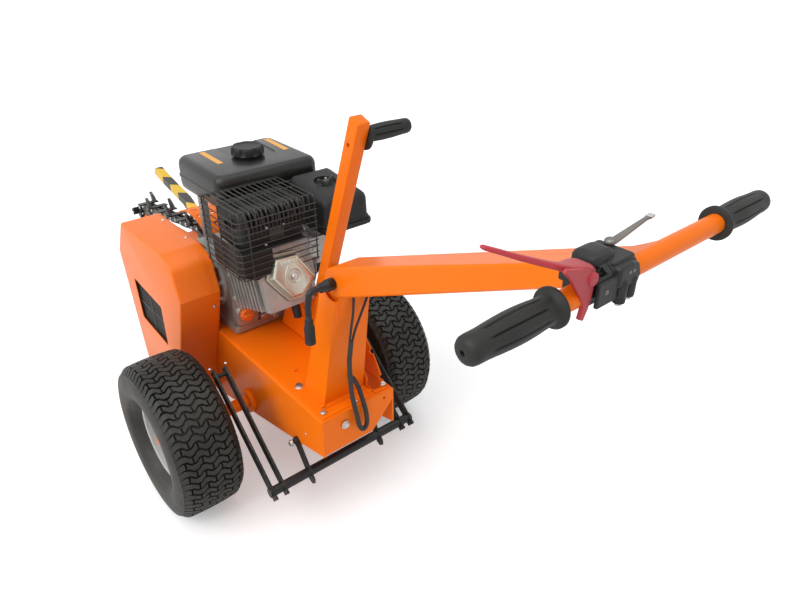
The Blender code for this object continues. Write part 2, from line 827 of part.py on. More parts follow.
def centre_distance():
    # The boom is as long as the chain's whole number of links makes it.
    low = LINK_COUNT * CHAIN_PITCH / 8
    high = LINK_COUNT * CHAIN_PITCH / 2
    for _ in range(60):
        middle = (low + high) / 2
        _, head_count, run_count, nose_count, _ = loop_parts(middle)
        if head_count + run_count + nose_count < LINK_COUNT / 2:
            low = middle
        else:
            high = middle
    return (low + high) / 2


def boom_point(u, v):
    # A point given along and across the boom, from the head shaft.
    turn = Matrix.Rotation(BOOM_SLOPE, 2)
    moved = turn @ Vector((u, v))
    return (HEAD_Y + moved.x, HEAD_Z + moved.y)


def pin_point(count, centres):
    # The place of a pin, a number of pitches from the back of the head wrap.
    if count > LINK_COUNT / 2:
        u, v = pin_point(LINK_COUNT - count, centres)
        return (u, -v)
    lean, head_count, run_count, _, nose_step = loop_parts(centres)
    if count < head_count:
        return polar((0, 0), head_radius(), math.pi - count * math.tau / HEAD_TEETH)
    start = Vector(polar((0, 0), head_radius(), math.pi / 2 - lean))
    end = Vector(polar((centres, 0), NOSE_RADIUS, math.pi / 2 - lean))
    if count < head_count + run_count:
        return tuple(start.lerp(end, (count - head_count) / run_count))
    turn = math.pi / 2 - lean - (count - head_count - run_count) * nose_step
    return polar((centres, 0), NOSE_RADIUS, turn)


def boom_prism(outline, low, high):
    return prism([boom_point(u, v) for u, v in outline], "x", low, high)


def link_frame(start, end):
    # Maps link coordinates (along from its middle, outwards) to the boom's.
    first = Vector(start)
    along = (Vector(end) - first).normalized()
    outwards = Vector((-along.y, along.x))
    middle = (first + Vector(end)) / 2
    return lambda s, h: tuple(middle + along * s + outwards * h)


def link_plates(start, end, inner):
    near = LINK_INNER_GAP / 2 + (0 if inner else LINK_PLATE - 0.0002)
    outline = strap(start, end, LINK_PLATE_RADIUS - (0 if inner else 0.0008), 2)
    plates = []
    for side in (-1, 1):
        low, high = sorted((CHAIN_X + side * near, CHAIN_X + side * (near + LINK_PLATE)))
        plates.append(boom_prism(outline, low, high))
    return plates


def cutter(start, end, side):
    # A cross plate welded on the outer link, with a hooked tooth near one end.
    to_boom = link_frame(start, end)
    base = LINK_PLATE_RADIUS - 0.0015
    top = base + LINK_PLATE
    plate = [to_boom(s, h) for s, h in rectangle(-0.0150, base, 0.0150, top)]
    tooth = [
        (-0.0140, top - 0.001),
        (0.0130, top - 0.001),
        (0.0200, CUTTER_REACH),
        (0.0110, CUTTER_REACH - 0.004),
        (-0.0040, top + 0.012),
    ]
    at = CHAIN_X + side * (CUTTER_HALF - 0.0095)
    return [
        boom_prism(plate, CHAIN_X - CUTTER_HALF, CHAIN_X + CUTTER_HALF),
        boom_prism([to_boom(s, h) for s, h in tooth], at - 0.0045, at + 0.0045),
    ]


def make_chain(paint, body):
    # Links with inner and outer plates in turn, held by pins, closed round the boom.
    centres = centre_distance()
    pins = [pin_point(i, centres) for i in range(LINK_COUNT)]
    half = LINK_INNER_GAP / 2 + 2 * LINK_PLATE - 0.001
    inner_links = []
    outer_links = []
    for i in range(LINK_COUNT):
        start = pins[i]
        end = pins[(i + 1) % LINK_COUNT]
        inner_links.append(boom_prism(circle(start, LINK_PIN_RADIUS, 6), CHAIN_X - half, CHAIN_X + half))
        if i % 2:
            inner_links += link_plates(start, end, True)
        else:
            outer_links += link_plates(start, end, False)
            outer_links += cutter(start, end, 1 if i % 4 else -1)
    chain = add_solid("digging_chain", joined(inner_links), paint, body)
    combine(chain, [joined(outer_links)], "UNION", self_union=True)


def sprocket_outline():
    # Concave roots round the pins and blunt tips between them.
    radius = head_radius()
    step = 360 / HEAD_TEETH
    outline = []
    for i in range(HEAD_TEETH):
        angle = 180 + math.degrees(BOOM_SLOPE) + i * step
        pin = polar((HEAD_Y, HEAD_Z), radius, math.radians(angle))
        outline += arc(pin, LINK_PIN_RADIUS + SWING, angle + 250, angle + 110, 2)
        tip = (HEAD_Y, HEAD_Z)
        outline += arc(tip, radius + 0.008, angle + step / 2 - 2.6, angle + step / 2 + 2.6, 1)
    return outline


def make_digging_sprocket(paint, body):
    # The toothed wheel that drives the digging chain, with its hub.
    head = (HEAD_Y, HEAD_Z)
    half = LINK_INNER_GAP / 2 - 0.0008
    wheel = prism(sprocket_outline(), "x", CHAIN_X - half, CHAIN_X + half)
    made = add_solid("digging_sprocket", wheel, paint, body)
    fuse(made, [rod("x", head, 0.030, CHAIN_X - SPROCKET_HUB_HALF, CHAIN_X + SPROCKET_HUB_HALF, 18)])
    bore = bore_radius(HEAD_SHAFT_RADIUS, 16)
    cut(made, [rod("x", head, bore, CHAIN_X - 0.03, CHAIN_X + 0.03, 16)])


def make_head_shaft(paint, body):
    # The driven shaft, with the final chain's wheel outside the chassis and a collar each side of the hub.
    head = (HEAD_Y, HEAD_Z)
    end = CHASSIS_HALF + 0.010
    shaft = rod("x", head, HEAD_SHAFT_RADIUS, FINAL_X - 0.008, end)
    made = add_solid("head_shaft", shaft, paint, body)
    final_half = FINAL_CHAIN_WIDTH / 2 - 0.001
    near = SPROCKET_HUB_HALF + SEAT
    fuse(
        made,
        [
            rod("x", head, 0.018, CHAIN_X - near - 0.006, CHAIN_X - near),
            rod("x", head, 0.018, CHAIN_X + near, CHAIN_X + near + 0.006),
            rod("x", head, FINAL_BIG_RADIUS, FINAL_X - final_half, FINAL_X + final_half, 18),
            rod("x", head, 0.020, FINAL_X - 0.007, FINAL_X + 0.012),
        ],
    )


def make_boom_bar(paint, body):
    centres = centre_distance()
    rear = head_radius() + 0.024
    half = BAR_HEIGHT / 2
    low = CHAIN_X - BAR_WIDTH / 2
    high = CHAIN_X + BAR_WIDTH / 2
    front = centres - 0.052
    made = add_solid("boom_bar", boom_prism(rectangle(rear, -half, front, half), low, high), paint, body)
    arm_low = CARRIER_X
    arm_high = CARRIER_X + CARRIER_THICK
    lug = polar((HEAD_Y, HEAD_Z), LUG_REACH, LUG_ANGLE)
    head = (HEAD_Y, HEAD_Z)
    pieces = [
        boom_prism(rectangle(rear + 0.012, -0.020, 0.205, 0.020), low + 0.001, arm_high - 0.001),
        boom_prism(strap((0, 0), (0.200, 0), 0.028), arm_low, arm_high),
        rod("x", head, 0.028, arm_low, CHASSIS_HALF - SHEET - UPRIGHT_THICK - 2 * SWING, 16),
        prism(strap(head, lug, 0.012), "x", arm_low, arm_high),
        rod("x", lug, 0.006, arm_low + 0.001, LINK_LOW_X - RUN, 12),
    ]
    roller_half = LINK_INNER_GAP / 2 - 0.001
    for side in (-1, 1):
        near = CHAIN_X + side * (roller_half + RUN)
        far = CHAIN_X + side * (BAR_WIDTH / 2 - 0.0003)
        pieces.append(boom_prism(strap((front - 0.030, 0), (centres, 0), 0.016), near, far))
    nose = boom_point(centres, 0)
    pieces.append(rod("x", nose, NOSE_PIN_RADIUS, low + 0.001, high - 0.001, 12))
    fuse(made, pieces)
    cut(made, [rod("x", head, bore_radius(HEAD_SHAFT_RADIUS, 12), 0.05, 0.12, 12)])


def make_nose_roller(paint, body):
    nose = boom_point(centre_distance(), 0)
    half = LINK_INNER_GAP / 2 - 0.001
    outer = NOSE_RADIUS - LINK_PIN_RADIUS - RUN
    bore = bore_radius(NOSE_PIN_RADIUS, 24)
    roller = ring("x", nose, bore, outer, CHAIN_X - half, CHAIN_X + half, 24)
    add_solid("nose_roller", roller, paint, body)


def make_chain_hood(paint, body):
    # A curved guard over the head of the chain, carried by the right bearing plate.
    head = (HEAD_Y, HEAD_Z)
    outer = HOOD_RADIUS + HOOD_SHEET
    right = CHASSIS_HALF - SHEET - UPRIGHT_THICK - 2 * SEAT
    shell = arc(head, outer, HOOD_START, HOOD_END, 8) + arc(head, HOOD_RADIUS, HOOD_END, HOOD_START, 8)
    hood = add_solid("chain_hood", prism(shell, "x", HOOD_LEFT_X, right), paint, body)
    cheek = arc(head, outer - 0.0005, HOOD_START + 6, HOOD_END - 12, 4)
    cheek += arc(head, 0.033, 125, 65, 3)
    fuse(hood, [prism(cheek, "x", right - HOOD_SHEET, right)])
    slots = []
    for step in range(4):
        turn = math.radians(HOOD_START + 14 + step * 16)
        for column in range(3):
            at = HOOD_LEFT_X + 0.022 + column * 0.030
            near = polar(head, HOOD_RADIUS - 0.004, turn)
            far = polar(head, outer + 0.004, turn)
            slots.append(prism(slab(near, far, 0.003), "x", at - 0.010, at + 0.010))
    cut(hood, [joined(slots)])


def ribbon(points, half_width):
    # A bar of even width along a bent path.
    left = []
    right = []
    for i, point in enumerate(points):
        before = Vector(points[max(i - 1, 0)])
        after = Vector(points[min(i + 1, len(points) - 1)])
        here = Vector(point)
        first = (here - before).normalized() if i else (after - here).normalized()
        second = (after - here).normalized() if i < len(points) - 1 else first
        across = Vector((-first.y - second.y, first.x + second.x)).normalized()
        reach = half_width / across.dot(Vector((-first.y, first.x)))
        left.append(tuple(here + across * reach))
        right.append(tuple(here - across * reach))
    return left + right[::-1]


def make_safety_bar(paint, body):
    # The striped square bar over the chain, cut to sit on the hood.
    path = [(0.490, 0.545), (0.545, 0.573), (0.687, 0.602), (0.741, 0.617)]
    low = CHAIN_X - SAFETY_HALF
    high = CHAIN_X + SAFETY_HALF
    bar = add_solid("safety_bar", prism(ribbon(path, SAFETY_HALF), "x", low, high), paint, body)
    seat = bore_radius(HOOD_RADIUS + HOOD_SHEET, 48)
    hood = rod("x", (HEAD_Y, HEAD_Z), seat, low - 0.02, high + 0.02, 48)
    cut(bar, [hood])
    soften(bar, 0.0015)


def guard_outline():
    return rounded(
        [
            (0.165, GUARD_TOP_Z),
            (0.430, GUARD_TOP_Z),
            (0.500, 0.500),
            (0.452, GUARD_LOW_Z),
            (0.205, GUARD_LOW_Z),
            (0.184, 0.220),
            (0.150, 0.325),
            (0.118, 0.405),
            (0.085, 0.500),
            (0.112, 0.585),
        ],
        0.014,
        2,
    )


def make_belt_guard(paint, body):
    # A pressed cover over the belt, closed by its back plate on the chassis side.
    inner_x = GUARD_IN_X - GUARD_BACK
    outline = guard_outline()
    cover = prism(outline, "x", GUARD_OUT_X, inner_x - SEAT)
    made = add_solid("belt_guard_cover", cover, paint, body)
    hollow = prism(inset(outline, GUARD_SHEET), "x", GUARD_OUT_X + GUARD_SHEET, inner_x + 0.01)
    slots = []
    for step in range(7):
        y = 0.240 + step * 0.027
        slots.append(block((GUARD_OUT_X - 0.01, y, 0.298), (GUARD_OUT_X + 0.01, y + 0.011, 0.440)))
    cut(made, [hollow, joined(slots)])
    bolts = [
        hex_head("z", (inner_x - 0.010, y), 0.006, GUARD_TOP_Z - 0.001, GUARD_TOP_Z + 0.005)
        for y in (0.220, 0.368)
    ]
    fuse(made, bolts)
    back = prism(outline, "x", inner_x, GUARD_IN_X)
    plate = add_solid("belt_guard_backplate", back, paint, body)
    low = inner_x - 0.01
    holes = [
        rod("x", (CRANK_Y, CRANK_Z), 0.030, low, -0.09, 14),
        rod("x", (JACK_Y, JACK_Z), JACK_RADIUS + 2 * SWING, low, -0.09, 12),
        rod("x", (HEAD_Y, HEAD_Z), 0.024, low, -0.09, 12),
    ]
    cut(plate, holes)
    stud = IDLER_PIVOT
    fuse(plate, [rod("x", stud, IDLER_STUD, IDLER_ARM_X - 0.006, GUARD_IN_X - 0.001, 12)])


def pulley(centre, radius, hub):
    # A grooved pulley in the belt's plane, with its hub.
    low = BELT_X - BELT_WIDTH / 2 - SWING
    high = BELT_X + BELT_WIDTH / 2 + SWING
    groove = radius - BELT_THICK - 0.001
    flange = 0.004
    profile = [
        (low - flange, 0),
        (low - flange, hub),
        (low - flange + 0.002, radius),
        (low, radius),
        (low + 0.001, groove),
        (high - 0.001, groove),
        (high, radius),
        (high + flange - 0.002, radius),
        (high + flange, hub),
        (high + flange, 0),
    ]
    return lathe(profile, 16, "x", centre)


def make_crankshaft(paint, body):
    crank = (CRANK_Y, CRANK_Z)
    shaft = rod("x", crank, CRANK_RADIUS, -0.168, -0.035)
    made = add_solid("crankshaft", shaft, paint, body)
    fuse(made, [pulley(crank, CRANK_PULLEY_RADIUS, 0.020)])


def make_jackshaft(paint, body):
    jack = (JACK_Y, JACK_Z)
    shaft = rod("x", jack, JACK_RADIUS, -0.174, CHASSIS_HALF + 0.010)
    made = add_solid("jackshaft", shaft, paint, body)
    half = FINAL_CHAIN_WIDTH / 2 - 0.001
    final = rod("x", jack, FINAL_SMALL_RADIUS, FINAL_X - half, FINAL_X + half, 20)
    fuse(made, [pulley(jack, JACK_PULLEY_RADIUS, 0.022), final])


def wrap(first, first_radius, second, second_radius, steps):
    # The outline of a band stretched round two circles.
    span = Vector(second) - Vector(first)
    heading = math.degrees(math.atan2(span.y, span.x))
    lean = math.degrees(math.asin((first_radius - second_radius) / span.length))
    far = arc(second, second_radius, heading - 90 + lean, heading + 90 - lean, steps)
    near = arc(first, first_radius, heading + 90 - lean, heading + 270 + lean, steps)
    return far + near


def make_band(name, circles, thick, middle, width, paint, body):
    # A closed belt or chain round two wheels, given as centre and radius in turn.
    first, first_radius, second, second_radius = circles
    steps = 8
    grow = 1 / math.cos(math.radians(100 / steps))
    inner = wrap(first, first_radius * grow, second, second_radius * grow, steps)
    outer = wrap(first, first_radius * grow + thick, second, second_radius * grow + thick, steps)
    low = middle - width / 2
    high = middle + width / 2
    band = add_solid(name, prism(outer, "x", low, high), paint, body)
    cut(band, [prism(inner, "x", low - 0.01, high + 0.01)])


def make_bands(belt_paint, chain_paint, body):
    lift = 0.0008
    crank = (CRANK_Y, CRANK_Z)
    jack = (JACK_Y, JACK_Z)
    head = (HEAD_Y, HEAD_Z)
    sink = BELT_THICK + 0.001 - lift
    belt = (crank, CRANK_PULLEY_RADIUS - sink, jack, JACK_PULLEY_RADIUS - sink)
    make_band("drive_belt", belt, BELT_THICK, BELT_X, BELT_WIDTH, belt_paint, body)
    chain = (jack, FINAL_SMALL_RADIUS + lift, head, FINAL_BIG_RADIUS + lift)
    make_band("final_chain", chain, 0.005, FINAL_X, FINAL_CHAIN_WIDTH, chain_paint, body)


def idler_place():
    # Beside the front run of the belt, clear of it while the clutch is let go.
    crank = Vector((CRANK_Y, CRANK_Z))
    jack = Vector((JACK_Y, JACK_Z))
    span = (jack - crank).normalized()
    front = Vector((-span.y, span.x))
    run = (CRANK_PULLEY_RADIUS + JACK_PULLEY_RADIUS) / 2
    middle = (crank + jack) / 2
    return tuple(middle + front * (run + IDLER_RADIUS + IDLER_SLACK))


def make_idler(arm_paint, pulley_paint, arm_body, pulley_body):
    centre = idler_place()
    thick = 0.005
    high = IDLER_ARM_X + thick
    arm = prism(strap(IDLER_PIVOT, centre, 0.012), "x", IDLER_ARM_X, high)
    made = add_solid("idler_arm", arm, arm_paint, arm_body)
    pin_end = BELT_X + BELT_WIDTH / 2
    fuse(made, [rod("x", centre, 0.005, high - 0.001, pin_end, 12)])
    bore = bore_radius(IDLER_STUD, 12)
    cut(made, [rod("x", IDLER_PIVOT, bore, IDLER_ARM_X - 0.01, high + 0.01, 12)])
    half = BELT_WIDTH / 2 - RUN
    inner = bore_radius(0.005, 16)
    disc = ring("x", centre, inner, IDLER_RADIUS, BELT_X - half, BELT_X + half, 16)
    add_solid("idler_pulley", disc, pulley_paint, pulley_body)


def cylinder_shape(mesh):
    # From the level working position to the cylinder's own tilt about the crank.
    return turned(mesh, "x", (CRANK_Y, CRANK_Z), -CYLINDER_TILT)


def cylinder_block(low_x, high_x, near, far, half):
    # A block between two distances behind the crank.
    low = (low_x, CRANK_Y - far, CRANK_Z - half)
    return cylinder_shape(block(low, (high_x, CRANK_Y - near, CRANK_Z + half)))


def make_engine_block(paint, body):
    case = rounded(rectangle(CASE_REAR_Y, BASE_Z, CASE_FRONT_Y, CASE_TOP_Z), 0.018)
    crankcase = prism(case, "x", ENGINE_LEFT_X, ENGINE_RIGHT_X)
    made = add_solid("engine_block", crankcase, paint, body)
    right = ENGINE_RIGHT_X - 0.002
    flange = rectangle(ENGINE_LEFT_X - 0.003, CASE_REAR_Y - 0.007, right, CASE_FRONT_Y + 0.005)
    base_low = DECK_Z + BASE_LIFT
    pieces = [
        prism(rounded(flange, 0.010, 2), "z", base_low, BASE_Z + 0.001),
        cylinder_block(-0.050, 0.060, 0.080, 0.275, 0.058),
        cylinder_block(HEAD_LEFT_X, HEAD_RIGHT_X, HEAD_NEAR, HEAD_FAR, FIN_HALF),
        cylinder_shape(
            block(
                (HEAD_RIGHT_X - 0.01, CRANK_Y - HEAD_FAR + 0.0002, CRANK_Z - 0.012),
                (0.070, CRANK_Y - HEAD_NEAR, CRANK_Z + FIN_HALF - 0.001),
            )
        ),
        rod("x", (CRANK_Y, CRANK_Z), 0.050, ENGINE_LEFT_X - 0.006, ENGINE_LEFT_X + 0.01, 16),
        rod("y", (OIL_X, OIL_Z), 0.014, OIL_Y + SEAT, 0.100, 12),
        rod("z", (0.020, -0.010), 0.015, 0.600, MUFFLER_LOW_Z - SEAT, 12),
    ]
    for x in (-0.062, 0.050):
        for y in (0.100, 0.245):
            pieces.append(block((x, y, DECK_Z + SEAT), (x + 0.018, y + 0.020, base_low + 0.001)))
    for x in (-0.045, 0.085):
        for y in (0.125, 0.260):
            pieces.append(block((x, y, CASE_TOP_Z - 0.010), (x + 0.020, y + 0.016, TANK_LOW_Z - SEAT)))
    fuse(made, pieces)
    step = (HEAD_NEAR - FIN_NEAR) / FIN_COUNT
    fins = []
    for i in range(FIN_COUNT):
        near = FIN_NEAR + i * step
        fins.append(cylinder_block(FIN_LEFT_X, FIN_RIGHT_X, near, near + FIN_THICK, FIN_HALF))
    combine(made, [joined(fins)], "UNION")
    bore = bore_radius(CRANK_RADIUS, 12)
    cut(made, [rod("x", (CRANK_Y, CRANK_Z), bore, ENGINE_LEFT_X - 0.02, -0.034, 12)])


def make_valve_cover(paint, body):
    # A six-sided pressed cover with a rim, bolted on the end of the head.
    centre = (0.002, 0.490)
    corners = [
        (-0.066, 0.007),
        (-0.042, 0.062),
        (0.025, 0.056),
        (0.066, -0.020),
        (0.014, -0.060),
        (-0.022, -0.058),
    ]
    hexagon = [(centre[0] + x, centre[1] + z) for x, z in corners]
    back = CRANK_Y - HEAD_FAR - SEAT
    rim = prism(rounded(hexagon, 0.014), "y", back - 0.004, back)
    dome = prism(rounded(inset(hexagon, 0.007), 0.012), "y", back - 0.024, back - 0.002)
    made = add_solid("valve_cover", cylinder_shape(rim), paint, body)
    head = [(back - 0.030, 0), (back - 0.028, 0.006), (back - 0.022, 0.0065), (back - 0.022, 0)]
    bolt = lathe(head, 12, "y", centre)
    fuse(made, [cylinder_shape(dome), cylinder_shape(bolt)])


def make_tank(paint, cap_paint, body, cap_body):
    outline = rounded(rectangle(-0.070, 0.080, 0.215, 0.325), 0.030)
    tank = add_solid("fuel_tank", prism(outline, "z", TANK_LOW_Z, TANK_HIGH_Z), paint, body)
    soften(tank, 0.012, 1, 60)
    raised = rounded(rectangle(-0.045, 0.105, 0.190, 0.300), 0.020)
    panel = prism(raised, "z", TANK_HIGH_Z - 0.002, TANK_HIGH_Z + 0.002)
    neck = rod("z", (CAP_X, CAP_Y), 0.030, TANK_HIGH_Z - 0.002, TANK_HIGH_Z + 0.010, 16)
    fuse(tank, [panel, neck])
    inner = prism(inset(outline, 0.008), "z", TANK_LOW_Z + 0.004, TANK_HIGH_Z - 0.006)
    cut(tank, [inner, rod("z", (CAP_X, CAP_Y), 0.025, TANK_HIGH_Z - 0.010, TANK_HIGH_Z + 0.02, 16)])
    seat = TANK_HIGH_Z + 0.002 + SEAT
    top = seat + 0.026
    skirt = [
        (seat, 0.030 / math.cos(math.pi / 16) + SEAT),
        (seat, CAP_RADIUS - 0.003),
        (seat + 0.004, CAP_RADIUS),
        (top - 0.006, CAP_RADIUS),
        (top, CAP_RADIUS - 0.007),
        (top, 0),
        (seat + 0.010, 0),
        (seat + 0.010, 0.030 / math.cos(math.pi / 16) + SEAT),
    ]
    add_solid("fuel_cap", lathe_cup(skirt, 16, "z", (CAP_X, CAP_Y)), cap_paint, cap_body)


def lathe_cup(profile, segments, axis, centre):
    # A turned cup, whose profile touches the axis at two points in its middle.
    first = next(i for i, point in enumerate(profile) if point[1] == 0)
    return lathe(profile[first + 1 :] + profile[: first + 1], segments, axis, centre)


def make_muffler(paint, body):
    high = MUFFLER_LOW_Z + 0.092
    outline = rounded(rectangle(-0.100, -0.078, 0.062, 0.052), 0.022)
    made = add_solid("muffler", prism(outline, "z", MUFFLER_LOW_Z, high), paint, body)
    soften(made, 0.010, 1, 60)
    ribs = [
        prism(rounded(rectangle(x, -0.070, x + 0.010, 0.044), 0.004, 2), "z", high - 0.002, high + 0.003)
        for x in (-0.078, -0.046, -0.014, 0.018)
    ]
    outlet = rod("x", (-0.030, high - 0.030), 0.012, -0.112, -0.090, 12)
    fuse(made, ribs + [outlet])
    inner = prism(inset(outline, 0.007), "z", MUFFLER_LOW_Z + 0.004, high - 0.008)
    cut(made, [inner, rod("x", (-0.030, high - 0.030), 0.009, -0.12, -0.08, 12)])


def make_cage(paint, body):
    # Bent wires over the muffler, welded to wires that wrap its left and rear sides.
    top = MUFFLER_LOW_Z + 0.103
    left = -0.123
    right = 0.084
    rear = -0.100
    front = 0.072
    across = []
    for i in range(CAGE_WIRES):
        x = left + 0.006 + i * (right - left - 0.012) / (CAGE_WIRES - 1)
        path = [
            (x, front, top),
            (x, rear + 0.014, top),
            (x, rear + 0.003, top - 0.010),
            (x, rear + 0.001, 0.688),
        ]
        across.append(bent_rod(path, CAGE_WIRE, 0))
    around = []
    for z in (0.640, 0.676):
        around.append(bent_rod([(left, front, z), (left, rear + 0.012, z)], CAGE_WIRE, 0))
    for z in (0.706, 0.740):
        turn = [
            (left, front, z),
            (left, rear + 0.012, z),
            (left + 0.012, rear - 0.0015, z),
            (right, rear - 0.0015, z),
        ]
        around.append(bent_rod(turn, CAGE_WIRE, 0))
    posts = [
        bent_rod([(left + 0.0015, y, 0.636), (left + 0.0015, y, top)], CAGE_WIRE, 0)
        for y in (front - 0.004, rear + 0.020)
    ]
    ties = [bent_rod([(left, -0.010, top + 0.0015), (right, -0.010, top + 0.0015)], CAGE_WIRE, 0)]
    bracket = block((left, front - 0.002, top - 0.004), (right, 0.080 - SEAT, top + 0.004))
    made = add_solid("muffler_cage", joined(across), paint, body)
    combine(made, [joined(around + posts + ties + [bracket])], "UNION", self_union=True)


def make_air_filter(paint, nut_paint, body, nut_body):
    seat = FILTER_LOW_Z + 0.016
    foot = rounded(rectangle(0.100, -0.108, 0.245, 0.078), 0.020)
    base = add_solid("air_filter_base", prism(foot, "z", FILTER_LOW_Z, seat - SEAT), paint, body)
    stud = (0.172, -0.012)
    fuse(base, [rod("z", stud, FILTER_STUD, seat - 0.002, seat + 0.098, 10)])
    side = [(-0.105, seat), (0.076, seat), (0.076, seat + 0.096), (-0.105, seat + 0.068)]
    cover = add_solid("air_filter_cover", prism(side, "x", 0.102, 0.243), paint, body)
    soften(cover, 0.016, 2, 60)
    hollow = prism(rounded(rectangle(0.112, -0.095, 0.233, 0.066), 0.015), "z", seat - 0.01, seat + 0.058)
    recess = rod("z", stud, 0.030, seat + 0.076, seat + 0.12, 16)
    cut(cover, [hollow, recess, rod("z", stud, bore_radius(FILTER_STUD, 12), seat, seat + 0.1, 12)])
    low = seat + 0.076 + SEAT
    collar = ring("z", stud, bore_radius(FILTER_STUD, 12), 0.009, low, low + 0.010, 12)
    nut = add_solid("air_filter_wing_nut", collar, nut_paint, nut_body)
    wings = []
    for side_sign in (-1, 1):
        near = stud[0] + side_sign * 0.007
        far = stud[0] + side_sign * 0.022
        wing = [
            (near, low),
            (near, low + 0.009),
            (far, low + 0.016),
            (far + side_sign * 0.002, low + 0.006),
        ]
        wings.append(prism(wing, "y", stud[1] - 0.0015, stud[1] + 0.0015))
    fuse(nut, wings)


def make_carburettor(paint, body):
    low_x = FIN_RIGHT_X + SEAT
    made = add_solid("carburettor", block((low_x, -0.052, 0.585), (0.140, 0.004, 0.636)), paint, body)
    bowl = rod("z", (0.118, -0.024), 0.022, 0.560, 0.590, 16)
    throat = rod("z", (0.125, -0.024), 0.020, 0.630, FILTER_LOW_Z - SEAT, 16)
    fuse(made, [bowl, throat])


def make_blower(paint, body):
    crank = (CRANK_Y, CRANK_Z)
    low = ENGINE_RIGHT_X + SEAT
    high = RECOIL_X - SEAT
    drum = add_solid("blower_housing", rod("x", crank, BLOWER_RADIUS, low, high, 24), paint, body)
    soften(drum, 0.008, 1, 60)
    floor = block((low - 0.01, 0.0, 0.30), (high + 0.01, 0.40, DECK_Z + 0.004))
    inner = rod("x", crank, BLOWER_RADIUS - 0.009, low - 0.01, high - 0.004, 20)
    mouth = rod("x", crank, 0.080, high - 0.02, high + 0.01, 16)
    cut(drum, [floor, inner, mouth])


def make_recoil(paint, body):
    crank = (CRANK_Y, CRANK_Z)
    outer = RECOIL_RADIUS
    high = RECOIL_X + 0.060
    profile = [
        (RECOIL_X, outer - 0.003),
        (RECOIL_X, outer),
        (RECOIL_X + 0.035, outer - 0.004),
        (RECOIL_X + 0.052, outer - 0.016),
        (high, outer - 0.040),
        (high, 0),
        (high - 0.003, 0),
        (high - 0.003, outer - 0.041),
        (RECOIL_X + 0.050, outer - 0.019),
        (RECOIL_X + 0.033, outer - 0.007),
    ]
    made = add_solid("recoil_housing", lathe_cup(profile, 18, "x", crank), paint, body)
    slots = []
    for i in range(6):
        turn = math.radians(60 * i + 30)
        near = polar(crank, 0.030, turn)
        far = polar(crank, 0.052, turn)
        slots.append(prism(slab(near, far, 0.005), "x", high - 0.02, high + 0.01))
    cut(made, [joined(slots)])


def recoil_place():
    return polar((CRANK_Y, CRANK_Z), RECOIL_RADIUS + 0.0052 + SEAT, math.radians(RECOIL_PULL))


def make_recoil_grip(paint, body):
    # The pull grip stands on the rim of its housing, across the pull.
    pull = math.radians(RECOIL_PULL)
    y, z = recoil_place()
    across = (-math.sin(pull), math.cos(pull))
    first = (y + across[0] * 0.026, z + across[1] * 0.026)
    last = (y - across[0] * 0.026, z - across[1] * 0.026)
    low = RECOIL_X + 0.010
    made = add_solid("recoil_grip", prism(strap(first, last, 0.008, 4), "x", low, low + 0.016), paint, body)
    soften(made, 0.002, 1, 60)


def make_small_engine_parts(paints, body, oil_body, switch_body):
    boot = cylinder_shape(
        lathe(
            [
                (CRANK_Z - FIN_HALF - SEAT - 0.038, 0),
                (CRANK_Z - FIN_HALF - SEAT - 0.034, 0.010),
                (CRANK_Z - FIN_HALF - SEAT - 0.006, 0.011),
                (CRANK_Z - FIN_HALF - SEAT, 0.009),
                (CRANK_Z - FIN_HALF - SEAT, 0),
            ],
            12,
            "z",
            (0.002, CRANK_Y - (HEAD_NEAR + HEAD_FAR) / 2),
        )
    )
    add_solid("spark_plug_boot", boot, paints["black_rubber"], body)
    ribs = []
    for i in range(9):
        turn = 40 * i
        ribs += arc((OIL_X, OIL_Z), 0.0185, turn - 10, turn + 10, 1)
        ribs += arc((OIL_X, OIL_Z), 0.0160, turn + 15, turn + 25, 1)
    cap = prism(ribs, "y", OIL_Y - 0.014, OIL_Y)
    made = add_solid("oil_cap", cap, paints["orange_paint"], oil_body)
    bar = rounded(rectangle(OIL_X - 0.012, OIL_Z - 0.003, OIL_X + 0.012, OIL_Z + 0.003), 0.002, 2)
    fuse(made, [prism(bar, "y", OIL_Y - 0.021, OIL_Y - 0.013)])
    face = CASE_REAR_Y - SEAT
    knob = rod("y", (SWITCH_X, SWITCH_Z), 0.012, face - 0.010, face, 16)
    switch = add_solid("engine_switch", knob, paints["charcoal_plastic"], switch_body)
    low = (SWITCH_X - 0.003, face - 0.022, SWITCH_Z - 0.009)
    fuse(switch, [block(low, (SWITCH_X + 0.003, face - 0.009, SWITCH_Z + 0.014))])


def make_beam(paint, body):
    # A tapering box section, hollow, with its nose open below for the column's tongue.
    pivot = (TILT_Y, TILT_Z)
    outline = arc(pivot, NOSE_HALF, -115, 67.7, 8)
    outline += [(BEAM_REAR_Y, BEAM_REAR_Z + 0.017), (BEAM_REAR_Y, BEAM_REAR_Z - 0.017)]
    beam = add_solid("handlebar_beam", prism(outline, "x", -BEAM_HALF, BEAM_HALF), paint, body)
    soften(beam, 0.004, 1, 60)
    inner_half = BEAM_HALF - BEAM_WALL
    hollow = prism(inset(outline, BEAM_WALL), "x", -inner_half, inner_half)
    mouth = arc(pivot, TONGUE_ROOM, -188, -8, 10) + [pivot]
    bore = bore_radius(LOCK_BOLT_RADIUS, 16)
    bar = rod("x", (BAR_Y, BAR_Z), BAR_RADIUS + SEAT, -0.1, 0.1, 16)
    opening = prism(mouth, "x", -inner_half, inner_half)
    cut(beam, [hollow, opening, rod("x", pivot, bore, -0.08, 0.08, 16), bar])


def make_t_bar(paint, body):
    bar = (BAR_Y, BAR_Z)
    add_solid("t_bar", rod("x", bar, BAR_RADIUS, -BAR_HALF, BAR_HALF, 16), paint, body)


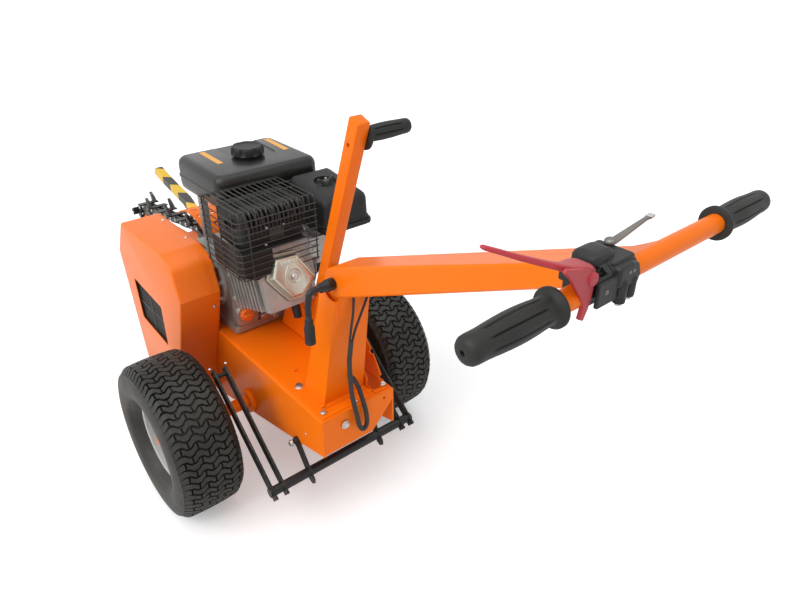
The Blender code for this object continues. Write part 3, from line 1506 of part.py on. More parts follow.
def make_grip(side, name, paint, body):
    bore = bore_radius(BAR_RADIUS, 12)
    end = BAR_HALF + 0.005
    start = end - GRIP_LENGTH
    profile = [(start, bore), (start, 0.024), (start + 0.005, 0.024), (start + 0.007, GRIP_RADIUS)]
    for i in range(2):
        at = start + 0.040 + i * 0.040
        profile += [(at, GRIP_RADIUS), (at + 0.004, GRIP_RADIUS - 0.0015), (at + 0.008, GRIP_RADIUS)]
    profile += [
        (end - 0.004, GRIP_RADIUS),
        (end, GRIP_RADIUS - 0.005),
        (end, 0.003),
        (BAR_HALF + SEAT, 0.003),
        (BAR_HALF + SEAT, bore),
    ]
    grip = lathe([(side * x, r) for x, r in profile], 12, "x", (BAR_Y, BAR_Z))
    add_solid("grip_" + name, grip, paint, body)


def make_control_housing(paint, body):
    outline = rounded(rectangle(-0.992, 0.932, -0.9385, HOUSING_TOP), 0.010)
    right = -BEAM_HALF - SEAT
    made = add_solid("control_housing", prism(outline, "x", -0.120, right - 0.0012), paint, body)
    pieces = [
        block((-0.118, -0.996, 0.934), (-0.020, -0.9815, 0.972)),
        block((-0.142, -0.991, 0.960), (-0.119, -0.9815, CLUTCH_Z + 0.008)),
        rod("y", (CLUTCH_X, CLUTCH_Z), CLUTCH_PIN, -0.985, -0.946, 12),
        rod("z", (-0.051, -0.986), 0.008, 0.916, 0.940, 12),
        rod("z", (-0.029, -0.9885), 0.007, 0.918, 0.940, 12),
        hex_head("y", (-0.085, 0.958), 0.006, -1.0002, -0.991),
    ]
    fuse(made, pieces)
    pocket = block((-0.125, -0.953, 0.925), (-0.104, -0.930, 0.974))
    bar = rod("x", (BAR_Y, BAR_Z), bore_radius(BAR_RADIUS, 16), -0.15, 0.0, 16)
    cut(made, [bar, pocket])


def make_clutch_lever(paint, body):
    # The blade arches over the handlebar and its tab hangs down in front of it.
    path = [(CLUTCH_X + 0.004, CLUTCH_Z), (-0.160, 0.999), (-0.205, 1.018), (-0.250, 1.035)]
    blade = add_solid("clutch_lever", prism(ribbon(path, 0.003), "y", -0.978, -0.951), paint, body)
    centre = (CLUTCH_X, CLUTCH_Z)
    tab = [
        (CLUTCH_X + 0.006, 0.985),
        (CLUTCH_X - 0.008, 0.988),
        (CLUTCH_X - 0.005, 0.918),
        (CLUTCH_X + 0.004, 0.916),
    ]
    fuse(blade, [rod("y", centre, 0.008, -0.979, -0.9475, 14), prism(tab, "y", -0.9515, -0.9475)])
    bore = bore_radius(CLUTCH_PIN, 14)
    cut(blade, [rod("y", centre, bore, -1.0, -0.94, 14)])


def make_throttle_lever(paint, body):
    low = HOUSING_TOP + SEAT
    outline = [(THROTTLE_X - 0.006, THROTTLE_Y - 0.008), (0.050, -0.936)]
    outline += arc((0.056, -0.929), 0.008, -80, 90, 4)
    outline += [(THROTTLE_X - 0.006, THROTTLE_Y + 0.010)]
    lever = add_solid("throttle_lever", prism(outline, "z", low, low + 0.003), paint, body)
    fuse(lever, [rod("z", (THROTTLE_X, THROTTLE_Y), 0.006, low, low + 0.007, 12)])
    cut(lever, [rod("z", (0.056, -0.929), 0.003, low - 0.01, low + 0.01, 10)])


def make_lock_crank(paint, knob_paint, body):
    pivot = (TILT_Y, TILT_Z)
    collar = -BEAM_HALF - SEAT
    arm_x = -0.100
    made = add_solid("lock_crank", rod("x", pivot, LOCK_BOLT_RADIUS, -0.070, 0.0475, 16), paint, body)
    bend = [
        (-0.060, TILT_Y, TILT_Z),
        (arm_x + 0.014, TILT_Y, TILT_Z),
        (arm_x + 0.004, TILT_Y + 0.001, TILT_Z - 0.004),
        (arm_x, TILT_Y + 0.002, TILT_Z - 0.014),
        (arm_x, TILT_Y + 0.005, KNOB_TOP + 0.020),
        (arm_x, TILT_Y + 0.006, KNOB_TOP - 0.010),
    ]
    pieces = [
        rod("x", pivot, 0.011, -0.066, collar, 16),
        hex_head("x", pivot, 0.010, BEAM_HALF + SEAT, BEAM_HALF + 0.008),
        bent_rod(bend, 0.0055, 2),
    ]
    combine(made, pieces, "UNION", self_union=True)
    centre = (arm_x, TILT_Y + 0.006)
    seat = KNOB_TOP - 0.010 - SEAT
    bore = 0.0055 + RUN
    profile = [
        (seat, 0),
        (seat, bore),
        (KNOB_TOP, bore),
        (KNOB_TOP, 0.0075),
        (KNOB_TOP - 0.020, 0.0085),
        (KNOB_TOP - 0.050, 0.0105),
        (KNOB_TOP - 0.059, 0.0095),
        (KNOB_TOP - 0.059, 0),
    ]
    add_solid("lock_crank_knob", lathe(profile, 16, "z", centre), knob_paint, body)


def lever_point(reach, offset=0.0):
    # A point along the lift lever from the axle, and behind its centre line.
    along = Vector((math.cos(LEVER_ANGLE), math.sin(LEVER_ANGLE)))
    behind = Vector((-along.y, along.x))
    return tuple(Vector((0, AXLE_Z)) + along * reach + behind * offset)


def make_lift_lever(paint, body):
    hub = (0, AXLE_Z)
    half = LEVER_TUBE / 2
    low = LEVER_X - half
    high = LEVER_X + half
    top = LEVER_LENGTH - half
    bar = slab(hub, lever_point(top), half)
    lever = add_solid("lift_lever", prism(bar, "x", low, high), paint, body)
    arm = polar(hub, ARM_LENGTH, ARM_ANGLE)
    arm_low = low + 0.003
    arm_high = LINK_LOW_X - SWING
    pieces = [
        rod("x", hub, 0.027, low, high, 16),
        rod("x", lever_point(top), half, low, high, 16),
        prism(strap(hub, arm, 0.010), "x", arm_low, arm_high),
        rod("x", arm, LINK_PIN, arm_high - 0.001, LINK_HIGH_X + 0.003, 12),
        rod("x", lever_point(GRIP_REACH), LEVER_STUB, high - 0.004, high + 0.095, 12),
    ]
    fuse(lever, pieces)
    bore = bore_radius(AXLE_RADIUS, 12)
    inner = slab(lever_point(0.045), lever_point(top - 0.030), half - 0.003)
    hole = rod("x", lever_point(top - 0.036), 0.006, low - 0.01, LEVER_X, 12)
    hub_bore = rod("x", hub, bore, low - 0.01, high + 0.01, 12)
    cut(lever, [hub_bore, prism(inner, "x", low + 0.003, high - 0.003), hole])


def make_lever_grip(paint, body):
    start = LEVER_X + LEVER_TUBE / 2 + SEAT
    bore = bore_radius(LEVER_STUB, 16)
    end = start + 0.106
    profile = [
        (start, bore),
        (start, 0.030),
        (start + 0.004, 0.030),
        (start + 0.007, 0.0165),
        (end - 0.006, 0.0165),
        (end, 0.011),
        (end, 0),
        (end - 0.009, 0),
        (end - 0.009, bore),
    ]
    grip = lathe_cup(profile, 16, "x", lever_point(GRIP_REACH))
    add_solid("lift_lever_grip", grip, paint, body)


def make_latch(paint, body):
    # A plate that slides on the lever's rear face and carries the bar for the notches.
    reach = SECTOR_RADIUS + LATCH_BAR_RADIUS + SWING
    face = LEVER_TUBE / 2 + SEAT
    centre = lever_point(reach, LATCH_OFFSET)
    end = SECTOR_OUTER_X + SECTOR_SHEET + 0.002
    bar = rod("x", centre, LATCH_BAR_RADIUS, SECTOR_INNER_X - 0.002, end, 12)
    made = add_solid("lever_latch", bar, paint, body)
    corners = rectangle(reach - 0.008, face, reach + 0.075, face + 0.004)
    plate = prism([lever_point(s, d) for s, d in corners], "x", LEVER_X - 0.012, LEVER_X + 0.012)
    thumb = [
        (reach + 0.066, face + 0.003),
        (reach + 0.075, face + 0.003),
        (reach + 0.075, face + 0.016),
        (reach + 0.070, face + 0.016),
    ]
    tab = prism([lever_point(s, d) for s, d in thumb], "x", LEVER_X - 0.012, LEVER_X + 0.012)
    fuse(made, [plate, tab])


def make_lift_link(paint, body):
    # A flat link from the lever's arm to the boom's lug, whose front pivot is left open.
    start = polar((0, AXLE_Z), ARM_LENGTH, ARM_ANGLE)
    end = polar((HEAD_Y, HEAD_Z), LUG_REACH, LUG_ANGLE)
    outline = slab(start, end, 0.005)
    link = add_solid("lift_link", prism(outline, "x", LINK_LOW_X, LINK_HIGH_X), paint, body)
    eyes = [rod("x", start, 0.011, LINK_LOW_X, LINK_HIGH_X, 16)]
    eyes.append(rod("x", end, 0.010, LINK_LOW_X, LINK_HIGH_X, 16))
    fuse(link, eyes)
    bore = bore_radius(LINK_PIN, 16)
    cut(link, [rod("x", start, bore, 0.05, 0.1, 16), rod("x", end, bore, 0.05, 0.1, 16)])


def make_rear_frame(paint, body):
    # A cross tube with a pair of flat bars beside each wheel, hung from the chassis by straps.
    tube = (SWING_TUBE_Y, SWING_TUBE_Z)
    pivot = (SWING_Y, SWING_Z)
    frame = add_solid("rear_frame", rod("x", tube, 0.012, -SWING_HALF, SWING_HALF, 10), paint, body)
    tip = (-0.045, 0.370)
    tail = tuple(Vector(tube) - (Vector(tip) - Vector(tube)).normalized() * 0.022)
    pieces = []
    strap_low = CHASSIS_HALF + SEAT
    for side in (-1, 1):
        for x in (0.178, 0.208):
            low, high = sorted((side * (x - 0.0025), side * (x + 0.0025)))
            pieces.append(prism(slab(tail, tip, 0.013), "x", low, high))
        cross = tuple(Vector(tip).lerp(Vector(tube), 0.05))
        low, high = sorted((side * 0.172, side * 0.213))
        pieces.append(rod("x", cross, 0.006, low, high, 6))
        down = tuple(Vector(tube) + (Vector(tube) - Vector(pivot)).normalized() * 0.020)
        low, high = sorted((side * strap_low, side * (strap_low + 0.005)))
        pieces.append(prism(strap(pivot, down, 0.012, 3), "x", low, high))
        low, high = sorted((side * (CHASSIS_HALF - SHEET - 0.004), side * (strap_low + 0.004)))
        pieces.append(rod("x", pivot, SWING_PIN, low, high, 12))
        low, high = sorted((side * (strap_low + 0.004), side * (strap_low + 0.010)))
        pieces.append(hex_head("x", pivot, 0.009, low, high))
    fuse(frame, pieces)


def make_cables(paint, body):
    thin = 0.0028
    routes = {
        "control_cable_clutch": [
            (0.031, -0.3585, 0.640),
            (0.030, -0.3580, 0.626),
            (-0.002, -0.3580, 0.562),
            (-0.0105, -0.3580, 0.5384),
        ],
        "control_cable_throttle": [
            (-0.004, -0.3585, 0.640),
            (-0.008, -0.3585, 0.600),
            (-0.0150, -0.3580, 0.560),
            (-0.0190, -0.3580, 0.5374),
        ],
    }
    for name, route in routes.items():
        cable = make_cable(name, local_path(smooth_path(route, 9), body), thin, 2)
        finish_cable(cable, paint, body)
    sleeve = [
        (-0.015, -0.3580, 0.5370),
        (-0.0155, -0.3580, 0.5270),
        (-0.024, -0.3590, 0.480),
        (-0.024, -0.3640, 0.400),
        (-0.014, -0.3720, 0.320),
        (0.001, -0.3720, 0.292),
        (0.011, -0.3700, 0.320),
        (0.004, -0.3640, 0.372),
        (0.003, -0.3420, 0.411),
        (0.003, -0.3190, 0.412),
    ]
    cable = make_cable("cable_sleeve", local_path(smooth_path(sleeve, 20), body), 0.0055, 2)
    finish_cable(cable, paint, body)


def local_path(points, body):
    return [point - PIVOTS[body] for point in points]


def finish_cable(cable, paint, body):
    cable.parent = body
    cable.data.materials.append(paint)
    for spline in cable.data.splines:
        spline.use_smooth = True


def clear_scene():
    for item in list(bpy.data.objects):
        bpy.data.objects.remove(item)


def all_paints():
    return {name: make_material(name, *look) for name, look in LOOKS.items()}


def build_chassis(paints, root):
    orange = paints["orange_paint"]
    make_chassis(orange, root)
    make_axle(orange, root)
    for side, name in ((-1, "left"), (1, "right")):
        make_upright(side, name, orange, root)
    make_front_foot(orange, root)
    make_column(orange, root)
    make_sector("sector_plate_inner", SECTOR_INNER_X, orange, root)
    make_sector("sector_plate_outer", SECTOR_OUTER_X, orange, root)
    make_chain_hood(orange, root)
    make_safety_bar(paints["hazard_paint"], root)
    make_belt_guard(paints["black_paint"], root)
    make_bands(paints["black_rubber"], paints["steel"], root)
    make_cables(paints["black_rubber"], root)
    for side, name in ((-1, "left"), (1, "right")):
        wheel = make_body("wheel_" + name, (side * WHEEL_X, 0, AXLE_Z), root)
        make_wheel(side, name, paints["tyre_rubber"], orange, wheel)
    swing = make_body("rear_frame", (0, SWING_Y, SWING_Z), root)
    make_rear_frame(paints["black_paint"], swing)


def build_drive(paints, root):
    steel = paints["steel"]
    make_crankshaft(steel, make_body("crankshaft", (0, CRANK_Y, CRANK_Z), root))
    make_jackshaft(steel, make_body("jackshaft", (0, JACK_Y, JACK_Z), root))
    arm = make_body("idler_arm", (IDLER_ARM_X, *IDLER_PIVOT), root)
    pulley_body = make_body("idler_pulley", (BELT_X, *idler_place()), arm)
    make_idler(steel, paints["black_paint"], arm, pulley_body)


def build_boom(paints, root):
    boom = make_body("boom", (CHAIN_X, HEAD_Y, HEAD_Z), root)
    make_boom_bar(paints["orange_paint"], boom)
    make_chain(paints["steel"], boom)
    head = (CHAIN_X, HEAD_Y, HEAD_Z)
    make_digging_sprocket(paints["steel"], make_body("digging_sprocket", head, boom))
    make_head_shaft(paints["steel"], make_body("head_shaft", head, boom))
    nose = boom_point(centre_distance(), 0)
    make_nose_roller(paints["steel"], make_body("nose_roller", (CHAIN_X, *nose), boom))


def build_lift(paints, root):
    lever = make_body("lift_lever", (LEVER_X, 0, AXLE_Z), root)
    make_lift_lever(paints["orange_paint"], lever)
    make_lever_grip(paints["black_rubber"], lever)
    y, z = lever_point(SECTOR_RADIUS, LATCH_OFFSET)
    make_latch(paints["steel"], make_body("lever_latch", (LEVER_X, y, z), lever))
    y, z = polar((0, AXLE_Z), ARM_LENGTH, ARM_ANGLE)
    make_lift_link(paints["steel"], make_body("lift_link", (LINK_LOW_X, y, z), lever))


def build_handlebar(paints, root):
    handle = make_body("handlebar", (0, TILT_Y, TILT_Z), root)
    make_beam(paints["orange_paint"], handle)
    make_t_bar(paints["orange_paint"], handle)
    for side, name in ((-1, "left"), (1, "right")):
        make_grip(side, name, paints["black_rubber"], handle)
    make_control_housing(paints["charcoal_plastic"], handle)
    clutch = make_body("clutch_lever", (CLUTCH_X, BAR_Y, CLUTCH_Z), handle)
    make_clutch_lever(paints["red_plastic"], clutch)
    throttle = make_body("throttle_lever", (THROTTLE_X, THROTTLE_Y, HOUSING_TOP), handle)
    make_throttle_lever(paints["steel"], throttle)
    crank = make_body("lock_crank", (0, TILT_Y, TILT_Z), root)
    make_lock_crank(paints["black_paint"], paints["black_rubber"], crank)


def build_engine(paints, root):
    make_engine_block(paints["cast_aluminium"], root)
    make_valve_cover(paints["cream_zinc"], root)
    cap = make_body("fuel_cap", (CAP_X, CAP_Y, TANK_HIGH_Z), root)
    make_tank(paints["black_paint"], paints["charcoal_plastic"], root, cap)
    make_muffler(paints["dark_wire"], root)
    make_cage(paints["dark_wire"], root)
    nut = make_body("air_filter_wing_nut", (0.172, -0.012, FILTER_LOW_Z + 0.09), root)
    make_air_filter(paints["charcoal_plastic"], paints["steel"], root, nut)
    make_carburettor(paints["cast_aluminium"], root)
    make_blower(paints["black_paint"], root)
    make_recoil(paints["black_paint"], root)
    y, z = recoil_place()
    make_recoil_grip(paints["black_rubber"], make_body("recoil_grip", (RECOIL_X, y, z), root))
    oil = make_body("oil_cap", (OIL_X, OIL_Y, OIL_Z), root)
    switch = make_body("engine_switch", (SWITCH_X, CASE_REAR_Y, SWITCH_Z), root)
    make_small_engine_parts(paints, root, oil, switch)


def stand_on_origin(root):
    # Moves the whole machine so that its box is centred and rests on z = 0.
    bpy.context.view_layer.update()
    graph = bpy.context.evaluated_depsgraph_get()
    points = []
    for item in bpy.data.objects:
        if item.type in ("MESH", "CURVE") and not item.hide_render:
            shape = item.evaluated_get(graph)
            made = shape.to_mesh()
            points += [item.matrix_world @ vert.co for vert in made.vertices]
            shape.to_mesh_clear()
    low = Vector([min(point[i] for point in points) for i in range(3)])
    high = Vector([max(point[i] for point in points) for i in range(3)])
    root.location = (-(low.x + high.x) / 2, -(low.y + high.y) / 2, -low.z)
    print("root moved by", [round(value, 6) for value in root.location])


def main():
    clear_scene()
    paints = all_paints()
    root = make_body("trencher", (0, 0, 0))
    build_chassis(paints, root)
    build_drive(paints, root)
    build_boom(paints, root)
    build_lift(paints, root)
    build_handlebar(paints, root)
    build_engine(paints, root)
    stand_on_origin(root)


main()
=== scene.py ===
from math import asin, copysign, cos, pi, radians, sin, sqrt, tan, tau

import bmesh
import bpy
from mathutils import Matrix, Vector


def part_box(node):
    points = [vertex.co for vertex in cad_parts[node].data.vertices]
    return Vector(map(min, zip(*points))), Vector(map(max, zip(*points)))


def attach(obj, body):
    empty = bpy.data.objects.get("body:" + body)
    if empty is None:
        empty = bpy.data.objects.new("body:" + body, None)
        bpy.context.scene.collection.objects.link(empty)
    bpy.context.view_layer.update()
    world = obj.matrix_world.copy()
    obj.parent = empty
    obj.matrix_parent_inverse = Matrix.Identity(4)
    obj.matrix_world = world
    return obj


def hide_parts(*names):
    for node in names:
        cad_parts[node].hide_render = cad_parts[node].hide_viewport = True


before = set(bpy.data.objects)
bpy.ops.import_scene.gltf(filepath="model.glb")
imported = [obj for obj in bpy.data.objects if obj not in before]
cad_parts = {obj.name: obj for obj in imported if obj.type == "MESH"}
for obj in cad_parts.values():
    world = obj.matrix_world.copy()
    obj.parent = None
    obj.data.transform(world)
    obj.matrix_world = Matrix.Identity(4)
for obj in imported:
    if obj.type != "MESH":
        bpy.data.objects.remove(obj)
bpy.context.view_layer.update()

# The machine's own coordinates: the axle is at y = 0 and the ground at z = 0.
axleLow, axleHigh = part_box("axle_tube")
shift = Vector((0, (axleLow.y + axleHigh.y) / 2, 0))
wheelX = 0.302
axle = (0, 0.203)


def place(axis, u, v, w):
    if axis == "x":
        return Vector((w, u, v))
    if axis == "y":
        return Vector((u, w, v))
    return Vector((u, v, w))


def mm(points):
    # Points that are written in millimetres.
    return [tuple(value / 1000 for value in point) for point in points]


def outward(mesh):
    # Every shell of the mesh gets its faces pointing out.
    bmesh.ops.recalc_face_normals(mesh, faces=mesh.faces)
    waiting = set(mesh.faces)
    inverted = []
    while waiting:
        shell = [waiting.pop()]
        for face in shell:
            for edge in face.edges:
                for other in edge.link_faces:
                    if other in waiting:
                        waiting.remove(other)
                        shell.append(other)
        middle = sum((face.calc_center_median() for face in shell), Vector()) / len(shell)
        volume = sum((face.calc_center_median() - middle).dot(face.normal) * face.calc_area() for face in shell)
        if volume < 0:
            inverted += shell
    if inverted:
        bmesh.ops.reverse_faces(mesh, faces=inverted)


def addObject(name, data):
    made = bpy.data.objects.new(name, data)
    bpy.context.scene.collection.objects.link(made)
    return made


def meshData(name, mesh):
    # The mesh as object data. The mesh itself is freed.
    data = bpy.data.meshes.new(name)
    mesh.to_mesh(data)
    mesh.free()
    return data


def finishPiece(mesh, name, look, body="chassis", node=None, smooth=35, bevel=0, segments=2,
                moved=False):
    # An object of the mesh, which rides on the body. With a node, it stands for that node.
    if not moved:
        bmesh.ops.translate(mesh, verts=mesh.verts, vec=shift)
    outward(mesh)
    data = meshData(name, mesh)
    data.shade_smooth()
    data.set_sharp_from_angle(angle=radians(smooth))
    data.materials.append(mats[look])
    made = addObject(name, data)
    if bevel:
        rounding = made.modifiers.new("rounding", "BEVEL")
        rounding.width = bevel
        rounding.segments = segments
        rounding.limit_method = "ANGLE"
        rounding.angle_limit = radians(30)
        rounding.harden_normals = True
    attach(made, body)
    if node:
        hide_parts(node)
    return made


def joined(meshes):
    whole = bmesh.new()
    for mesh in meshes:
        data = meshData("part", mesh)
        whole.from_mesh(data)
        bpy.data.meshes.remove(data)
    return whole


def bridge(mesh, one, two):
    for i in range(len(one)):
        j = (i + 1) % len(one)
        mesh.faces.new((one[i], one[j], two[j], two[i]))


def skin(loops):
    # A mesh over loops that have the same number of points, closed at both ends.
    mesh = bmesh.new()
    rings = [[mesh.verts.new(point) for point in loop] for loop in loops]
    for one, two in zip(rings, rings[1:]):
        bridge(mesh, one, two)
    mesh.faces.new(rings[0])
    mesh.faces.new(rings[-1][::-1])
    return mesh


def prism(outline, axis, low, high):
    return skin([[place(axis, u, v, along) for u, v in outline] for along in (low, high)])


def box4(low, high):
    return [(low[0], low[1]), (high[0], low[1]), (high[0], high[1]), (low[0], high[1])]


def block(low, high):
    return prism(box4(low, high), "z", low[2], high[2])


def circlePoints(centre, radius, steps, start=0):
    turns = [start + tau * i / steps for i in range(steps)]
    return [(centre[0] + radius * cos(turn), centre[1] + radius * sin(turn)) for turn in turns]


def rod(axis, centre, radius, low, high, steps=32):
    return prism(circlePoints(centre, radius, steps), axis, low, high)


def waveLoop(axis, centre, along, steps, radiusAt):
    # A loop about an axis, whose radius is a function of the turn.
    loop = []
    for i in range(steps):
        turn = tau * i / steps
        radius = radiusAt(turn)
        loop.append(place(axis, centre[0] + radius * cos(turn), centre[1] + radius * sin(turn), along))
    return loop


def scallopedCap(axis, centre, radius, levels, steps, count, depth, power):
    # A cap with hollows round its rim. A level is (along, added radius, share of the depth).
    def loop(along, grow, share):
        return waveLoop(axis, centre, along, steps,
                        lambda turn: radius + grow - max(0, cos(count * turn)) ** power * depth * share)
    return skin([loop(*level) for level in levels])


def lathe(profile, axis, centre, steps=64, closed=False):
    # A profile of (along, radius) points turned about the axis.
    mesh = bmesh.new()
    rings = []
    for along, radius in profile:
        points = circlePoints(centre, radius, steps) if radius > 1e-6 else [centre]
        rings.append([mesh.verts.new(place(axis, u, v, along)) for u, v in points])
    pairs = list(zip(rings, rings[1:]))
    if closed:
        pairs.append((rings[-1], rings[0]))
    for one, two in pairs:
        for i in range(steps):
            j = (i + 1) % steps
            corners = [one[i % len(one)], one[j % len(one)], two[j % len(two)], two[i % len(two)]]
            unique = list(dict.fromkeys(corners))
            if len(unique) > 2:
                mesh.faces.new(unique)
    return mesh


def tubeMesh(points, radius, steps=12):
    # A tube along a path, with its own frame carried along it.
    path = [Vector(p) for p in points]
    radii = radius if isinstance(radius, list) else [radius] * len(path)
    turns = [tau * k / steps for k in range(steps)]
    side = None
    loops = []
    for i, point in enumerate(path):
        ahead = (path[min(i + 1, len(path) - 1)] - path[max(i - 1, 0)]).normalized()
        if side is None:
            side = ahead.orthogonal().normalized()
        side = (side - ahead * side.dot(ahead)).normalized()
        up = ahead.cross(side)
        loops.append([point + (side * cos(turn) + up * sin(turn)) * radii[i] for turn in turns])
    return skin(loops)


def bend(before, corner, after, radius, steps, most):
    # The points that round a corner off. The bend takes up to that share of each side.
    back, ahead = before - corner, after - corner
    reach = min(radius / tan(back.angle(ahead) / 2), back.length * most, ahead.length * most)
    one = corner + back.normalized() * reach
    two = corner + ahead.normalized() * reach
    shares = [k / steps for k in range(steps + 1)]
    return [one * (1 - t) ** 2 + corner * 2 * t * (1 - t) + two * t * t for t in shares]


def roundPath(points, radius, steps=5):
    path = [Vector(p) for p in points]
    result = path[:1]
    for before, corner, after in zip(path, path[1:], path[2:]):
        result += bend(before, corner, after, radius, steps, 0.49)
    return result + path[-1:]


def cornerOutline(corners, steps, most=0.49):
    # An outline of (u, v, radius) corners.
    result = []
    for i, corner in enumerate(corners):
        three = (corners[i - 1], corner, corners[(i + 1) % len(corners)])
        before, point, after = (Vector(spot[:2]) for spot in three)
        result += [tuple(spot) for spot in bend(before, point, after, corner[2], steps, most)]
    return result


def roundedOutline(points, radius, steps=4):
    return cornerOutline([(*point, radius) for point in points], steps, 9)


def smoothPath(points, count):
    # A Catmull-Rom curve through the points, with even steps.
    path = [Vector(p) for p in points]
    path = [path[0] * 2 - path[1]] + path + [path[-1] * 2 - path[-2]]
    dense = []
    for a, b, c, d in zip(path, path[1:], path[2:], path[3:]):
        for i in range(16):
            t = i / 16
            square = (a * 2 - b * 5 + c * 4 - d) * t * t
            dense.append((b * 2 + (c - a) * t + square + (b * 3 - a - c * 3 + d) * t ** 3) / 2)
    dense.append(path[-2])
    lengths = [0]
    for one, two in zip(dense, dense[1:]):
        lengths.append(lengths[-1] + (two - one).length)
    result = []
    index = 0
    for i in range(count):
        wanted = lengths[-1] * i / (count - 1)
        while index < len(lengths) - 2 and lengths[index + 1] < wanted:
            index += 1
        span = max(lengths[index + 1] - lengths[index], 1e-9)
        result.append(dense[index].lerp(dense[index + 1], (wanted - lengths[index]) / span))
    return result


def insetOutline(points, distance):
    # The outline moved inwards by one distance, or outwards where that is negative.
    area = sum(a[0] * b[1] - b[0] * a[1] for a, b in zip(points, points[1:] + points[:1]))
    side = 1 if area > 0 else -1
    result = []
    for i in range(len(points)):
        corner = Vector(points[i])
        first = (corner - Vector(points[i - 1])).normalized()
        second = (Vector(points[(i + 1) % len(points)]) - corner).normalized()
        normal = Vector((-first.y - second.y, first.x + second.x)).normalized() * side
        lean = Vector((-first.y, first.x)) * side
        result.append(tuple(corner + normal * distance / max(normal.dot(lean), 0.3)))
    return result


def shell(outline, axis, steps, radius=None):
    # The outline carried through (along, inset) steps. With a radius, its corners are rounded.
    loops = []
    for along, distance in steps:
        points = insetOutline(outline, distance) if distance else outline
        if radius:
            points = roundedOutline(points, max(radius - distance, 0.0012), 6)
        loops.append([place(axis, u, v, along) for u, v in points])
    return skin(loops)


def carve(base, cutters):
    # The first mesh less the others.
    objects = []
    for mesh in (base, joined(cutters)):
        outward(mesh)
        objects.append(addObject("carving", meshData("carving", mesh)))
    cut = objects[0].modifiers.new("cut", "BOOLEAN")
    cut.operation = "DIFFERENCE"
    cut.solver = "MANIFOLD"
    cut.object = objects[1]
    graph = bpy.context.evaluated_depsgraph_get()
    mesh = bmesh.new()
    mesh.from_mesh(bpy.data.meshes.new_from_object(objects[0].evaluated_get(graph)))
    for item in objects:
        bpy.data.objects.remove(item)
    return mesh


def turned(mesh, axis, centre, angle):
    spin = Matrix.Rotation(angle, 3, place(axis, 0, 0, 1))
    bmesh.ops.rotate(mesh, verts=mesh.verts, cent=place(axis, *centre, 0), matrix=spin)
    return mesh


def domedBolt(axis, centre, face, radius, height, out=1):
    # A hexagon head on a round flange.
    head = prism(circlePoints(centre, radius, 6, 0.3), axis, face, face + out * height)
    flange = [(0, 1.32), (0.18, 1.32), (0.34, 1.05), (0.34, 0)]
    return joined([head, lathe([(face + out * a * height, r * radius) for a, r in flange], axis, centre, 32)])


def roundHead(axis, centre, face, radius, height, out=1):
    profile = [(0, 1), (0.3, 0.98), (0.7, 0.75), (0.95, 0.35), (1, 0)]
    return lathe([(face + out * a * height, r * radius) for a, r in profile], axis, centre, 24)


def nodeMaterial(name):
    made = bpy.data.materials.new(name)
    made.use_nodes = True
    tree = made.node_tree
    return made, tree, next(node for node in tree.nodes if node.type == "BSDF_PRINCIPLED")


def setInputs(tree, node, inputs):
    # An input is linked where its value is another node's output.
    for name, value in inputs.items():
        if isinstance(value, bpy.types.NodeSocket):
            tree.links.new(value, node.inputs[name])
        else:
            node.inputs[name].default_value = value


def addNode(tree, kind, output, inputs={}, **settings):
    made = tree.nodes.new("ShaderNode" + kind)
    for name, value in settings.items():
        setattr(made, name, value)
    setInputs(tree, made, inputs)
    return made.outputs[output]


def noise(tree, scale, detail, rough=0.55):
    where = addNode(tree, "TexCoord", "Object")
    return addNode(tree, "TexNoise", "Fac", {"Scale": scale, "Detail": detail, "Roughness": rough,
                                             "Vector": where})


def calculate(tree, operation, *values):
    return addNode(tree, "Math", "Value", dict(enumerate(values)), operation=operation)


def mapRange(tree, value, start, end, low, high):
    return addNode(tree, "MapRange", "Result",
                   {"Value": value, "From Min": start, "From Max": end, "To Min": low, "To Max": high})


def mixed(tree, share, under, over):
    return addNode(tree, "Mix", "Result", {"Factor": share, "A": under, "B": (*over, 1)}, data_type="RGBA")


def ramp(tree, value, stops):
    made = tree.nodes.new("ShaderNodeValToRGB")
    for element, (position, colour) in zip(made.color_ramp.elements, stops):
        element.position = position
        element.color = (*colour, 1)
    tree.links.new(value, made.inputs["Fac"])
    return made.outputs["Color"]


def addWearAndGlints(tree, colour, wearAndGlints):
    # Edges and high spots rubbed to another colour. On the chain this is partly rubbed steel and partly painted
    # glints.
    high = addNode(tree, "NewGeometry", "Pointiness")
    total = calculate(tree, "MULTIPLY_ADD", noise(tree, wearAndGlints.get("scale", 60), 6, 0.7), 0.35, high)
    return mixed(tree, mapRange(tree, total, wearAndGlints["start"], wearAndGlints["end"], 0, 1), colour, wearAndGlints["colour"])


def addDust(tree, colour, dust):
    patch = noise(tree, dust["scale"], 8, 0.65)
    return mixed(tree, mapRange(tree, patch, 0.45, 0.85, 0, dust["most"]), colour, dust["colour"])


def addStripes(tree, colour, stripes):
    # Broad blocks across the piece, by place along the machine.
    where = {"Vector": addNode(tree, "TexCoord", "Object")}
    across, along = (addNode(tree, "SeparateXYZ", part, where) for part in "XY")
    slant = calculate(tree, "MULTIPLY_ADD", across, stripes["lean"], along)
    period = stripes["period"]
    part = calculate(tree, "FRACT", calculate(tree, "MULTIPLY_ADD", slant, 1 / period,
                                              stripes["start"] / period))
    return mixed(tree, calculate(tree, "GREATER_THAN", part, 0.5), colour, stripes["colour"])


